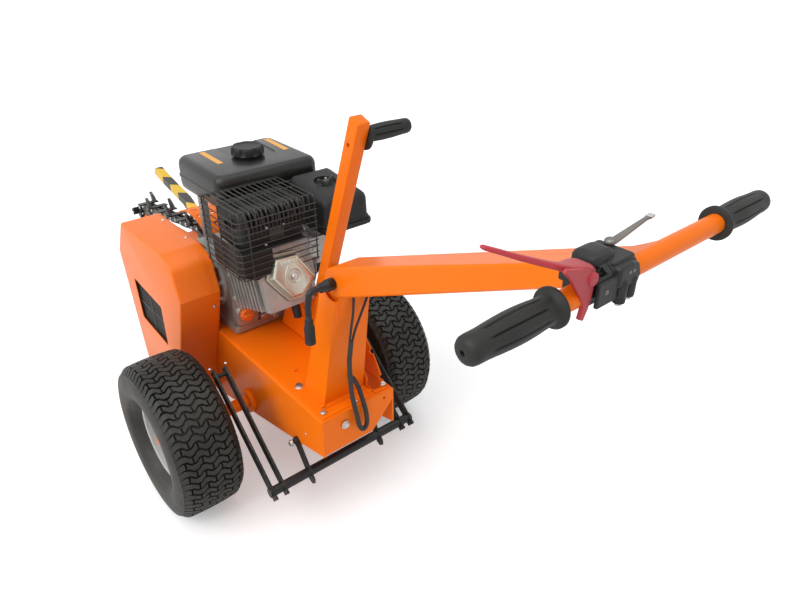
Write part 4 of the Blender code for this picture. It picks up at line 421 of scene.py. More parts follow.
def surface(name, colour, rough, spread, grain, grainScale, edge, metal=0, specular=0.5, coat=0, coatRough=0.1,
            mottleScale=9, grainDepth=0.0004, wearAndGlints=None, dust=None, stripes=None):
    # A node material: mottled colour, varied roughness, grain, rounded edges, and dust, wear (with painted
    # glints on the chain) or stripes.
    made, tree, shader = nodeMaterial(name)
    base = Vector(colour)
    colour = ramp(tree, noise(tree, mottleScale, 5), [(0.3, base * (1 - spread)), (0.7, base * (1 + spread))])
    for settings, add in ((wearAndGlints, addWearAndGlints), (dust, addDust), (stripes, addStripes)):
        if settings:
            colour = add(tree, colour, settings)
    bump = {"Strength": grain, "Distance": grainDepth, "Height": noise(tree, grainScale, 3)}
    if edge:
        bump["Normal"] = addNode(tree, "Bevel", "Normal", {"Radius": edge}, samples=4)
    setInputs(tree, shader, {
        "Base Color": colour, "Roughness": mapRange(tree, noise(tree, 30, 4), 0, 1, *rough), "Metallic": metal,
        "Specular IOR Level": specular, "Coat Weight": coat, "Coat Roughness": coatRough,
        "Normal": addNode(tree, "Bump", "Normal", bump),
    })
    mats[name] = made


mats = {}
surface("orangePaint", (0.94, 0.18, 0.003), (0.3, 0.4), 0.035, 0.1, 260, 0.0022, coat=0.05, coatRough=0.15,
        specular=0.14, mottleScale=5)
surface("blackPaint", (0.011, 0.011, 0.011), (0.3, 0.46), 0.25, 0.16, 330, 0.0015, coat=0.08, specular=0.3,
        wearAndGlints=dict(colour=(0.06, 0.055, 0.05), start=0.72, end=0.8))
surface("tankBlack", (0.014, 0.014, 0.013), (0.24, 0.36), 0.15, 0.06, 240, 0.002, coat=0.18, coatRough=0.2,
        specular=0.3)
surface("blackPlastic", (0.014, 0.014, 0.014), (0.42, 0.58), 0.15, 0.35, 700, 0.002, specular=0.3)
surface("tyreRubber", (0.021, 0.02, 0.017), (0.36, 0.62), 0.25, 0.3, 300, 0, mottleScale=14, specular=0.35,
        dust=dict(colour=(0.075, 0.07, 0.058), scale=7, most=0.35))
surface("gripRubber", (0.019, 0.02, 0.018), (0.46, 0.64), 0.15, 0.4, 520, 0.001, specular=0.3)
surface("charcoal", (0.02, 0.021, 0.02), (0.4, 0.55), 0.12, 0.4, 620, 0.0015, specular=0.3)
surface("redPlastic", (0.46, 0.03, 0.042), (0.38, 0.52), 0.1, 0.25, 420, 0.0015)
surface("steel", (0.55, 0.54, 0.52), (0.26, 0.44), 0.1, 0.12, 300, 0.0008, metal=1)
surface("darkSteel", (0.2, 0.19, 0.175), (0.36, 0.55), 0.2, 0.2, 260, 0.0008, metal=1)
# Bright edges and high spots: partly rubbed steel, partly painted glints.
surface("chainSteel", (0.034, 0.032, 0.03), (0.32, 0.55), 0.3, 0.3, 240, 0.0008, metal=0.5,
        wearAndGlints=dict(colour=(0.5, 0.48, 0.44), start=0.79, end=0.86, scale=90))
surface("castMetal", (0.4, 0.39, 0.37), (0.4, 0.58), 0.16, 0.7, 420, 0.002, metal=0.65, mottleScale=22,
        grainDepth=0.0006)
surface("creamZinc", (0.56, 0.555, 0.47), (0.26, 0.42), 0.12, 0.1, 200, 0.0015, metal=0.85, mottleScale=16)
# The rim grey is darker than the rim's own pale paint: painted shade for the inside of the wheel.
surface("rimPaintDarkForShade", (0.46, 0.455, 0.44), (0.34, 0.46), 0.05, 0.08, 260, 0.0015, coat=0.2)
surface("muffler", (0.016, 0.0155, 0.015), (0.4, 0.6), 0.3, 0.4, 500, 0.001, metal=0.1, specular=0.3)
surface("wire", (0.045, 0.044, 0.04), (0.34, 0.5), 0.2, 0.2, 500, 0, metal=0.4)
surface("beltRubber", (0.02, 0.02, 0.02), (0.6, 0.8), 0.2, 0.4, 800, 0)
surface("hazardPaint", (0.8, 0.5, 0.02), (0.34, 0.48), 0.06, 0.1, 260, 0.001, coat=0.2,
        stripes=dict(colour=(0.02, 0.02, 0.019), period=0.105, start=0.052, lean=0.6))
surface("cableSleeve", (0.02, 0.019, 0.018), (0.55, 0.8), 0.3, 0.8, 260, 0, grainDepth=0.001)
surface("orangePlastic", (0.88, 0.19, 0.02), (0.36, 0.48), 0.05, 0.2, 420, 0.001)
surface("gasket", (0.02, 0.02, 0.02), (0.7, 0.85), 0.2, 0.3, 500, 0)
surface("clearWhite", (0.75, 0.74, 0.7), (0.35, 0.5), 0.05, 0.1, 300, 0)
surface("guardPaint", (0.93, 0.18, 0.008), (0.3, 0.42), 0.035, 0.1, 260, 0.0022, coat=0.14, coatRough=0.25,
        specular=0.3, mottleScale=5)
surface("meshDark", (0.04, 0.04, 0.034), (0.45, 0.62), 0.2, 0.4, 500, 0)
surface("shieldRib", (0.022, 0.0215, 0.02), (0.34, 0.5), 0.2, 0.3, 500, 0, metal=0.1, specular=0.4)
surface("stripeOrange", (0.86, 0.38, 0.03), (0.3, 0.42), 0.05, 0.05, 260, 0)
print("materials made")


camera = dict(eye=(-0.6955, -1.3308, 1.3193), yaw=radians(39.84), pitch=radians(-30.04), roll=radians(-0.15),
              focal=661.75, width=800, right=1.75, up=0.5, sensor=36)


def makeCamera():
    # The focal length and the shifts are in pixels of the photograph.
    yaw, pitch = camera["yaw"], camera["pitch"]
    ahead = Vector((sin(yaw) * cos(pitch), cos(yaw) * cos(pitch), sin(pitch)))
    data = bpy.data.cameras.new("camera")
    data.sensor_width = camera["sensor"]
    data.lens = camera["focal"] / camera["width"] * camera["sensor"]
    data.shift_x = camera["right"] / camera["width"]
    data.shift_y = camera["up"] / camera["width"]
    made = addObject("camera", data)
    made.rotation_mode = "QUATERNION"
    roll = Matrix.Rotation(camera["roll"], 3, "Z").to_quaternion()
    made.rotation_quaternion = ahead.to_track_quat("-Z", "Y") @ roll
    made.location = Vector(camera["eye"]) + shift
    bpy.context.scene.camera = made


studio = dict(ambient=0.4, floorLift=0.3, half=14, floor=-0.0006, pale=((0.9,) * 3, (0.94,) * 3))


def makeFloor():
    # The camera sees the pale floor as white, and its shadow stays.
    half = studio["half"]
    mesh = bmesh.new()
    mesh.faces.new([mesh.verts.new((x, y, studio["floor"])) for x, y in box4((-half, -half), (half, half))])
    floor = addObject("floor", meshData("floor", mesh))
    made, tree, shader = nodeMaterial("floor")
    low, high = studio["pale"]
    seen = addNode(tree, "LightPath", "Is Camera Ray")
    setInputs(tree, shader, {"Base Color": ramp(tree, noise(tree, 3, 3), [(0.2, low), (0.8, high)]),
                             "Roughness": 0.9, "Emission Color": (1, 1, 1, 1),
                             "Emission Strength": calculate(tree, "MULTIPLY", seen, studio["floorLift"])})
    floor.data.materials.append(made)


def makeWorld():
    # White to the camera, to metal and through what is clear, and softer as a light.
    world = bpy.data.worlds.new("studio")
    bpy.context.scene.world = world
    world.use_nodes = True
    tree = world.node_tree
    tree.nodes.clear()
    seen = addNode(tree, "LightPath", "Is Camera Ray")
    for other in ("Is Glossy Ray", "Is Transmission Ray"):
        seen = calculate(tree, "MAXIMUM", seen, addNode(tree, "LightPath", other))
    strength = mapRange(tree, seen, 0, 1, studio["ambient"], 1)
    soft = addNode(tree, "Background", "Background", {"Color": (1, 1, 1, 1), "Strength": strength})
    tree.links.new(soft, tree.nodes.new("ShaderNodeOutputWorld").inputs["Surface"])


def addLamp(name, kind, aim, energy, spot=(0, 0, 0), **settings):
    data = bpy.data.lights.new(name, kind)
    data.energy = energy
    for key, value in settings.items():
        setattr(data, key, value)
    made = addObject(name, data)
    made.location = spot
    made.rotation_euler = Vector(aim).to_track_quat("-Z", "Y").to_euler()


makeCamera()
makeFloor()
makeWorld()
addLamp("key", "SUN", (0.8, -0.1, -0.62), 1.45, angle=radians(50))
addLamp("top", "SUN", (0.05, 0.15, -1), 1.1, angle=radians(70))
addLamp("glint", "AREA", (1.6, 1.3, -2), 7, (-1.6, -1.2, 2.4), shape="RECTANGLE", size=0.9, size_y=0.5)
bpy.context.scene.view_settings.view_transform = "Standard"
print("camera, floor and light made")


# The CAD nodes that the scene carries as they are.
nodeLooks = {
    "orangePaint": "chassis_frame upright_left upright_right column axle_tube belt_guard_backplate chain_hood "
                   "boom_bar handlebar_beam sector_plate_inner sector_plate_outer front_foot",
    "blackPaint": "rear_frame lift_link idler_arm lever_latch recoil_housing blower_housing",
    "darkSteel": "head_shaft nose_roller jackshaft crankshaft idler_pulley",
    "chainSteel": "digging_chain final_chain digging_sprocket",
    "castMetal": "engine_block carburettor",
    "blackPlastic": "recoil_grip engine_switch spark_plug_boot",
    "beltRubber": "drive_belt",
    "hazardPaint": "safety_bar",
}
for look, names in nodeLooks.items():
    for name in names.split():
        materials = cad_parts[name].data.materials
        materials.clear()
        materials.append(mats[look])
print("node materials set")


def tyreSection(half, crown, shoulder, bead, beadHalf):
    # From one bead over the crown to the other, as (along, radius).
    points = [(-beadHalf, bead), (-beadHalf - 0.005, bead + 0.002), (-beadHalf - 0.009, bead + 0.01),
              (-half + 0.0085, bead + 0.021), (-half + 0.003, bead + 0.031),
              (-half, (bead + shoulder) / 2 + 0.006), (-half + 0.002, shoulder - 0.016),
              (-half + 0.008, shoulder), (-half + 0.02, crown - 0.0065), (-half + 0.04, crown - 0.0025),
              (0, crown)]
    return points + [(-a, r) for a, r in reversed(points[:-1])]


def sampleSection(section, count):
    line = smoothPath([(a, r, 0) for a, r in section], count)
    return [(point.x, point.y) for point in line]


def tyreMesh(side, tyre):
    section = sampleSection(tyreSection(tyre["half"], tyre["crown"] - tyre["depth"], tyre["shoulder"],
                                        tyre["bead"], tyre["beadHalf"]), 44)
    inner = [(-a * 0.93, r - 0.006) for a, r in section[3:-3]]
    ring = [(side * wheelX + a, r) for a, r in section + inner]
    mesh = lathe(ring, "x", axle, 96, closed=True)

    def surfaceRadius(a):
        share = min(abs(a) / (tyre["half"] - 0.008), 1)
        return tyre["crown"] - 0.0045 * share ** 2 - 0.011 * max(share - 0.82, 0) / 0.18

    def outer(a, turn, drop):
        radius = surfaceRadius(a) - drop
        return place("x", axle[0] + radius * cos(turn), axle[1] + radius * sin(turn), side * wheelX + a)

    step = tau / tyre["rows"]
    for row in range(tyre["rows"]):
        middle = row * step
        starts = tyre["evenBlocks"] if row % 2 == 0 else tyre["oddBlocks"]
        for low, high in starts:
            addBlock(mesh, outer, low, high, middle, step, tyre)
    return mesh


def addBlock(mesh, outer, low, high, middle, step, tyre):
    # A bent block: its middle is pushed round the tyre, its top is a little smaller than its foot.
    columns = 9
    rings = []
    for drop, grow in ((tyre["depth"] + 0.003, 0.0007), (0.0011, 0), (0, -0.0009)):
        half = step * tyre["blockShare"] / 2 + grow / 0.2
        front = []
        back = []
        for k in range(columns):
            a = low - grow + (high - low + 2 * grow) * k / (columns - 1)
            wave = max(-1, min(1, 1.5 * cos(tau * a / tyre["wave"])))
            bent = middle + tyre["bend"] * wave * step
            front.append(mesh.verts.new(outer(a, bent + half, drop)))
            back.append(mesh.verts.new(outer(a, bent - half, drop)))
        rings.append(front + back[::-1])
    for one, two in zip(rings, rings[1:]):
        bridge(mesh, one, two)
    top = rings[-1]
    for k in range(columns - 1):
        mesh.faces.new((top[k], top[k + 1], top[-2 - k], top[-1 - k]))


tyreSettings = dict(
    half=0.0824, crown=0.203, shoulder=0.188, bead=0.099, beadHalf=0.05, depth=0.0075,
    rows=70, blockShare=0.74, bend=0.24, wave=0.0393,
    evenBlocks=mm([(-76.5, -60.5), (-57, -21.5), (-18, 18), (21.5, 57), (60.5, 76.5)]),
    oddBlocks=mm([(-76.5, -41), (-37.5, -1.8), (1.8, 37.5), (41, 76.5)]),
)


def makeTyre(side, name, node, body):
    finishPiece(tyreMesh(side, tyreSettings), name, "tyreRubber", body, node, smooth=32)


makeTyre(-1, "tyreLeft", "tyre_left", "wheel_left")
makeTyre(1, "tyreRight", "tyre_right", "wheel_right")
print("tyres made")


def makeRim(side, name, node, body):
    # A pressed steel disc in a wide barrel, its dish to the outside, with four bolts and a valve.
    rim = dict(flange=0.1085, flangeHalf=0.0585, seat=0.0972, well=0.082, wall=0.0028)
    x = side * wheelX
    outer = [(-rim["flangeHalf"], rim["flange"]), (-rim["flangeHalf"] + 0.004, rim["flange"] + 0.001),
             (-0.052, rim["seat"] + 0.003), (-0.05, rim["seat"]), (-0.036, rim["seat"] - 0.001),
             (-0.026, rim["well"]), (0.026, rim["well"]), (0.036, rim["seat"] - 0.001), (0.05, rim["seat"]),
             (0.052, rim["seat"] + 0.003), (rim["flangeHalf"] - 0.004, rim["flange"] + 0.001),
             (rim["flangeHalf"], rim["flange"])]
    inner = [(a * 0.985, r - rim["wall"]) for a, r in reversed(outer)]
    barrel = lathe([(x + a, r) for a, r in outer + inner], "x", axle, 72, closed=True)
    face = side * 0.012
    dish = [(face, 0), (face, 0.045), (face + side * 0.006, 0.056), (face + side * 0.008, 0.07),
            (face - side * 0.004, 0.0805)]
    disc = dish + [(a - side * 0.003, r) for a, r in reversed(dish)]
    plate = lathe([(x + a, r) for a, r in disc], "x", axle, 72)
    hub = lathe([(x + face + side * a, r) for a, r in ((0, 0.03), (0.02, 0.027), (0.026, 0.024),
                                                       (0.0265, 0.013), (0.012, 0.0125))], "x", axle, 48)
    finishPiece(joined([barrel, plate, hub]), name, "rimPaintDarkForShade", body, node, smooth=38)
    bolts = []
    for spot in circlePoints(axle, 0.036, 4, tau / 8):
        # A hexagon head with its washer.
        bolts.append(prism(circlePoints(spot, 0.014 / sqrt(3), 6, 0.4), "x", x + face, x + face + side * 0.009))
        bolts.append(rod("x", spot, 0.014 * 0.78, x + face, x + face + side * 0.009 * 0.28, 28))
    finishPiece(joined(bolts), name + "Bolts", "steel", body, bevel=0.0006)
    root = Vector((x + side * 0.004, 0, axle[1] + 0.083))
    tip = root + Vector((side * 0.034, 0, -0.01))
    valve = tubeMesh([root, root.lerp(tip, 0.6), tip], [0.0055, 0.0042, 0.0036], 16)
    finishPiece(valve, name + "Valve", "gasket", body)


makeRim(-1, "rimLeft", "rim_left", "wheel_left")
makeRim(1, "rimRight", "rim_right", "wheel_right")
print("rims made")


# The pressed cover of the belt drive, with its window and its mesh.
guard = dict(face=-0.21, back=-0.1056, wall=0.0022, mesh=-0.203, barPitch=0.0105, bar=0.0016,
             window=mm([(416, 440), (236, 425), (240, 300), (408, 314)]),
             corners=mm([(165, 605, 60), (430, 605, 16), (500, 500, 16), (452, 125, 14), (205, 125, 14),
                         (184, 220, 30), (150, 325, 30), (118, 405, 30), (85, 500, 10), (112, 585, 45)]))


def makeGuard():
    outline = cornerOutline(guard["corners"], 7)
    face, back, wall, net = (guard[key] for key in ("face", "back", "wall", "mesh"))
    outer = [(back, 0), (face + 0.006, 0), (face + 0.003, 0.0006), (face + 0.001, 0.0022), (face, 0.0045)]
    inner = [(back, wall), (face + 0.007, wall), (face + wall, 0.0065)]
    window = roundedOutline(guard["window"], 0.004, 3)
    cover = carve(shell(outline, "x", outer[::-1] + inner), [prism(window, "x", face - 0.01, face + 0.0035)])
    finishPiece(cover, "beltGuardCover", "guardPaint", "chassis", "belt_guard_cover",
                bevel=0.0004, segments=1)
    bars = []
    ys, zs = zip(*guard["window"])
    lowY, highY, lowZ, highZ = min(ys), max(ys), min(zs), max(zs)
    at = lowY - 0.004
    while at < highY + 0.004:
        bars.append(prism(box4((at, lowZ - 0.006), (at + guard["bar"], highZ + 0.006)), "x", net, net + 0.0012))
        at += guard["barPitch"]
    at = lowZ - 0.004
    while at < highZ + 0.004:
        bars.append(prism(box4((lowY - 0.006, at), (highY + 0.006, at + guard["bar"])), "x", net - 0.001,
                          net + 0.0002))
        at += guard["barPitch"]
    y, z = (lowY + highY) / 2, (lowZ + highZ) / 2
    bars.append(prism(box4((y - 0.002, lowZ - 0.004), (y + 0.002, highZ + 0.004)), "x", net - 0.002, net))
    bars.append(prism(box4((lowY - 0.004, z - 0.002), (highY + 0.004, z + 0.002)), "x", net - 0.002, net))
    finishPiece(joined(bars), "guardMesh", "blackPaint")
    # A dark sheet close behind the mesh: painted shade for the inside of the guard.
    windowShade = prism(insetOutline(guard["window"], -0.006), "x", net + 0.0022, net + 0.003)
    finishPiece(windowShade, "guardWindowShade", "meshDark")
    creases = []
    for x in (-0.118, -0.1225, -0.127):
        rim = insetOutline(outline, -0.0001)
        path = [place("x", y, z, x) for y, z in rim if y < 0.15 and z > 0.5]
        path.sort(key=lambda point: (point.z, point.y))
        creases.append(tubeMesh(path, 0.0006, 6))
    finishPiece(joined(creases), "guardCreases", "guardPaint")
    screws = [roundHead("z", spot, 0.605, 0.005, 0.0028) for spot in ((-0.114, 0.371), (-0.114, 0.2213))]
    screws.append(roundHead("y", (-0.119, 0.4546), 0.0975, 0.005, 0.0028, -1))
    finishPiece(joined(screws), "guardScrews", "steel")


makeGuard()
print("belt guard made")


# The fuel tank, with the recess round its neck, and the scalloped cap.
tank = dict(box=((-0.07, 0.08), (0.215, 0.325)), radius=0.03, recess=0.003, top=0.789, neck=(0.08, 0.206),
            steps=mm([(700, 16), (703, 8), (710, 2), (720, 0), (737, 0), (738.3, -2.2), (742.5, -2.2), (744, 0),
                      (770, 0.6), (778, 2.8), (784.5, 7.5), (788, 13.5), (789, 19)]),
            channel=mm([(40, 345), (28.5, 190), (45, 152), (90, 138), (135, 152), (151, 190), (162, 345)]),
            stripes=[((-0.005, 0.2995), (-0.0085, 0.1835)), ((0.186, 0.298), (0.179, 0.178))])


def makeTank():
    top = tank["top"]
    hollow = shell(tank["channel"], "z", [(top - tank["recess"], 0.0022), (top - 0.0008, 0.0004),
                                          (top + 0.02, 0)], 0.018)
    body = carve(shell(box4(*tank["box"]), "z", tank["steps"], tank["radius"]), [hollow])
    finishPiece(body, "fuelTank", "tankBlack", "chassis", "fuel_tank", bevel=0.0007)
    neck = lathe([(top - 0.006, 0.034), (top + 0.002, 0.0335), (top + 0.004, 0.03), (top + 0.008, 0.03),
                  (top + 0.008, 0)], "z", tank["neck"], 64)
    finishPiece(neck, "tankNeck", "tankBlack")
    bands = []
    for start, end in tank["stripes"]:
        line = (Vector(end) - Vector(start)).normalized()
        across = Vector((-line.y, line.x)) * 0.0075
        corners = [Vector(start) - across, Vector(start) + across, Vector(end) + across, Vector(end) - across]
        bands.append(prism([tuple(c) for c in corners], "z", top - 0.0002, top + 0.00025))
    finishPiece(joined(bands), "tankStripes", "stripeOrange")


def makeFuelCap():
    # Eight hollows round the rim, deepest near the top.
    low, high = 0.7895, 0.8135
    levels = [(low, -0.003, 0), (low + 0.003, 0, 0), (low + 0.006, 0, 0.55), (low + 0.01, -0.0003, 1),
              (high - 0.005, -0.0008, 1), (high - 0.002, -0.002, 0.9), (high - 0.0003, -0.0045, 0.6),
              (high, -0.008, 0.2), (high - 0.0002, -0.012, 0), (high - 0.0018, -0.0145, 0),
              (high - 0.0018, -0.026, 0)]
    mesh = scallopedCap("z", tank["neck"], 0.0425, levels, 160, 8, 0.0042, 0.6)
    finishPiece(mesh, "fuelCap", "blackPlastic", "fuel_lid", "fuel_cap", smooth=40)


makeTank()
makeFuelCap()
print("tank and cap made")


# The muffler under its ribbed, slotted shield, and the wire cage round it.
shield = dict(box=((-0.1, -0.078), (0.062, 0.052)), ribs=15, firstRib=-0.0855, ribPitch=0.01035, rib=0.0026)


def makeMuffler():
    steps = mm([(662, 5), (666, 0), (737, 0), (744, 2), (749, 6), (752.5, 12), (753.5, 15.5)])
    slots = []
    for i in range(shield["ribs"] - 1):
        x = shield["firstRib"] + shield["ribPitch"] * (i + 0.5)
        slots.append(block((x - 0.0024, -0.086, 0.722), (x + 0.0024, -0.0655, 0.7515)))
        slots.append(block((x - 0.0024, -0.03, 0.748), (x + 0.0024, 0.02, 0.76)))
    finishPiece(carve(shell(box4(*shield["box"]), "z", steps, 0.017), slots), "mufflerShield", "muffler",
                "chassis", "muffler", bevel=0.0006)
    ribs = []
    for i in range(shield["ribs"]):
        x = shield["firstRib"] + shield["ribPitch"] * i
        path = [(x, 0.049, 0.735), (x, 0.048, 0.746), (x, 0.036, 0.753), (x, -0.062, 0.753),
                (x, -0.0745, 0.747), (x, -0.0795, 0.735), (x, -0.0795, 0.7)]
        ribs.append(tubeMesh(roundPath(path, 0.012, 5), shield["rib"], 10))
    finishPiece(joined(ribs), "mufflerRibs", "shieldRib", smooth=50)
    # The black sheet below the shield, round the head's upper fins.
    rear = mm([(-115, 670), (-115, 613), (-84, 599), (-50, 608), (-40, 636), (-40, 670)])
    skirt = [prism(roundedOutline(rear, 0.006, 4), "y", -0.0972, -0.0958),
             prism(roundedOutline(box4((-0.0965, 0.606), (0.05, 0.675)), 0.006, 4), "x", -0.1156, -0.1142),
             prism(roundedOutline(box4((-0.115, -0.097), (0.05, -0.07)), 0.004, 3), "z", 0.669, 0.6702)]
    finishPiece(joined(skirt), "mufflerSkirt", "muffler", bevel=0.0004)
    outlet = lathe(mm([(-98, 12), (-112, 12), (-112.5, 11), (-112, 9.5), (-98, 9.5)]), "x",
                   (-0.03, 0.724), 40, closed=True)
    finishPiece(outlet, "mufflerOutlet", "muffler")
    spots = mm([(-40.3, 711.6), (5.8, 707.7), (-45, 670)])
    screws = [roundHead("y", spot, -0.0792, 0.0036, 0.0026, -1) for spot in spots]
    finishPiece(joined(screws), "mufflerScrews", "steel")
    plate = shell(roundedOutline(box4((-0.034, 0.676), (0.004, 0.706)), 0.004), "y",
                  [(-0.078, 0), (-0.08, 0), (-0.0806, 0.001)])
    finishPiece(plate, "mufflerPlate", "meshDark")


cage = dict(top=0.765, left=-0.123, right=0.084, rear=-0.1, front=0.072, wire=0.0014, topWires=15, rings=10,
            lowest=0.608, highest=0.748)


def makeCage():
    wires = []
    left, right, rear, front, top = (cage[key] for key in ("left", "right", "rear", "front", "top"))
    for i in range(cage["topWires"]):
        x = left + 0.01 + i * (right - left - 0.014) / (cage["topWires"] - 1)
        path = [(x, front, top - 0.012), (x, front - 0.001, top), (x, rear + 0.004, top),
                (x, rear + 0.002, top - 0.034)]
        wires.append(tubeMesh(roundPath(path, 0.009, 5), cage["wire"], 8))
    for i in range(cage["rings"]):
        z = cage["lowest"] + i * (cage["highest"] - cage["lowest"]) / (cage["rings"] - 1)
        path = [(left, front, z), (left, rear, z), (right, rear, z)]
        wires.append(tubeMesh(roundPath(path, 0.014, 6), cage["wire"], 8))
    foot, post, rail = cage["lowest"] - 0.006, cage["wire"] * 1.3, cage["wire"] * 1.2
    for y in (front - 0.003, -0.01, rear + 0.024):
        wires.append(tubeMesh([(left + 0.0025, y, foot), (left + 0.0025, y, top)], post, 8))
    for x in (left + 0.03, right - 0.004):
        wires.append(tubeMesh([(x, rear + 0.0025, foot), (x, rear + 0.0025, top - 0.03)], post, 8))
    for y in (front - 0.006, -0.01, rear + 0.02):
        wires.append(tubeMesh([(left + 0.004, y, top - 0.0022), (right, y, top - 0.0022)], rail, 8))
    finishPiece(joined(wires), "mufflerCage", "wire", "chassis", "muffler_cage", smooth=60)
    strip = block((left, front - 0.001, top - 0.004), (right, front + 0.0075, top - 0.001))
    finishPiece(strip, "cageBracket", "muffler", bevel=0.0005)


makeMuffler()
makeCage()
print("muffler and cage made")


# The air filter: a base with a groove, a sloped cover with a round recess, and its wing nut.
def makeAirFilter():
    foot = box4((0.1, -0.108), (0.245, 0.078))
    base = shell(foot, "z", mm([(655, 6), (658, 1), (660, 0), (666.5, 0), (670, 1)]), 0.02)
    finishPiece(base, "airFilterBase", "blackPlastic", "chassis", "air_filter_base")
    cover = box4((0.102, -0.105), (0.243, 0.076))
    levels = [(0, 0), (0.06, 0), (0.075, 0.0032), (0.09, 0.0036), (0.72, 0.0055), (0.84, 0.0085), (0.93, 0.015),
              (0.985, 0.024), (1, 0.034)]
    mesh = shell(cover, "z", levels, 0.026)
    for vertex in mesh.verts:
        height = 0.068 + 0.028 * (vertex.co.y + 0.105) / 0.181
        vertex.co.z = 0.6713 + height * vertex.co.z
    recess = lathe(mm([(747.2, 0), (747.2, 27), (749, 30), (790, 31), (790, 0)]), "z", (0.172, -0.012), 64)
    finishPiece(carve(mesh, [recess]), "airFilterCover", "blackPlastic", "chassis",
                "air_filter_cover", bevel=0.0012)


def makeWingNut():
    centre = (0.172, -0.012)
    hub = lathe(mm([(747.3, 3.4), (747.3, 9.5), (756, 8.8), (758.5, 7), (759, 3.4)]), "z", centre, 36,
                closed=True)
    wings = []
    for side in (-1, 1):
        outline = [(centre[0] + side * 0.006, 0.7475), (centre[0] + side * 0.006, 0.7565),
                   (centre[0] + side * 0.015, 0.7635), (centre[0] + side * 0.0215, 0.7655),
                   (centre[0] + side * 0.0245, 0.762), (centre[0] + side * 0.0235, 0.7555)]
        wings.append(prism(roundedOutline(outline, 0.0012, 3), "y", centre[1] - 0.0022, centre[1] + 0.0022))
    finishPiece(joined([hub] + wings), "airFilterWingNut", "meshDark", "filter_nut",
                "air_filter_wing_nut", bevel=0.0005)
    stud = rod("z", centre, 0.0029, 0.745, 0.764, 20)
    finishPiece(stud, "airFilterStud", "steel")


makeAirFilter()
makeWingNut()
print("air filter made")


# The valve cover on the end of the tilted head, with its gasket and bolt.
headTilt = radians(-18)
crank = (0.19, 0.49)
valveCover = dict(back=-0.1083, centre=(0.002, 0.49),
                  corners=mm([(-66, 7), (-42, 62), (25, 56), (66, -20), (14, -60), (-22, -58)]),
                  steps=mm([(0, 0), (-4.6, 0), (-6, 1), (-6.2, 2.8), (-4.6, 4.6), (-4.8, 6.2), (-15, 8),
                            (-19.5, 10.4), (-21.6, 14), (-22.2, 18)]))


def makeValveCover():
    back = valveCover["back"]
    cx, cz = valveCover["centre"]
    outline = [(cx + x, cz + z) for x, z in valveCover["corners"]]
    dome = shell(outline, "y", [(back + a, d) for a, d in valveCover["steps"]], 0.013)
    recess = lathe([(back - 0.019, 0), (back - 0.019, 0.015), (back - 0.0205, 0.0168), (back - 0.03, 0.0185),
                    (back - 0.03, 0)], "y", (cx, cz), 64)
    finishPiece(turned(carve(dome, [recess]), "x", crank, headTilt), "valveCover", "creamZinc", "chassis",
                "valve_cover", bevel=0.0006)
    ribs = []
    for i in range(7):
        x = cx - 0.026 + 0.0068 * i
        ribs.append(tubeMesh([(x, back - 0.0175, cz + 0.0435), (x, back - 0.0222, cz + 0.0385),
                              (x, back - 0.0226, cz + 0.0305)], 0.0014, 10))
    for side in (-1, 1):
        path = [(cx + side * 0.01, back - 0.0222, cz + 0.029), (cx + side * 0.024, back - 0.0222, cz + 0.006),
                (cx + side * 0.026, back - 0.0216, cz - 0.02), (cx + side * 0.012, back - 0.0205, cz - 0.041)]
        ribs.append(tubeMesh(smoothPath(path, 24), 0.0016, 10))
    finishPiece(turned(joined(ribs), "x", crank, headTilt), "valveCoverRibs", "creamZinc", smooth=60)
    bolt = joined([lathe([(back - 0.0188, 0), (back - 0.0188, 0.0118), (back - 0.0202, 0.0118),
                          (back - 0.0208, 0.01), (back - 0.0208, 0)], "y", (cx, cz), 48),
                   lathe([(back - 0.0206, 0.0082), (back - 0.026, 0.008), (back - 0.0272, 0.0066),
                          (back - 0.0274, 0)], "y", (cx, cz), 6)])
    finishPiece(turned(bolt, "x", crank, headTilt), "valveCoverBolt", "steel", smooth=25, bevel=0.0005)
    seal = prism(insetOutline(roundedOutline(outline, 0.013, 6), -0.001), "y", back - 0.0012, back + 0.0012)
    finishPiece(turned(seal, "x", crank, headTilt), "valveCoverGasket", "gasket")


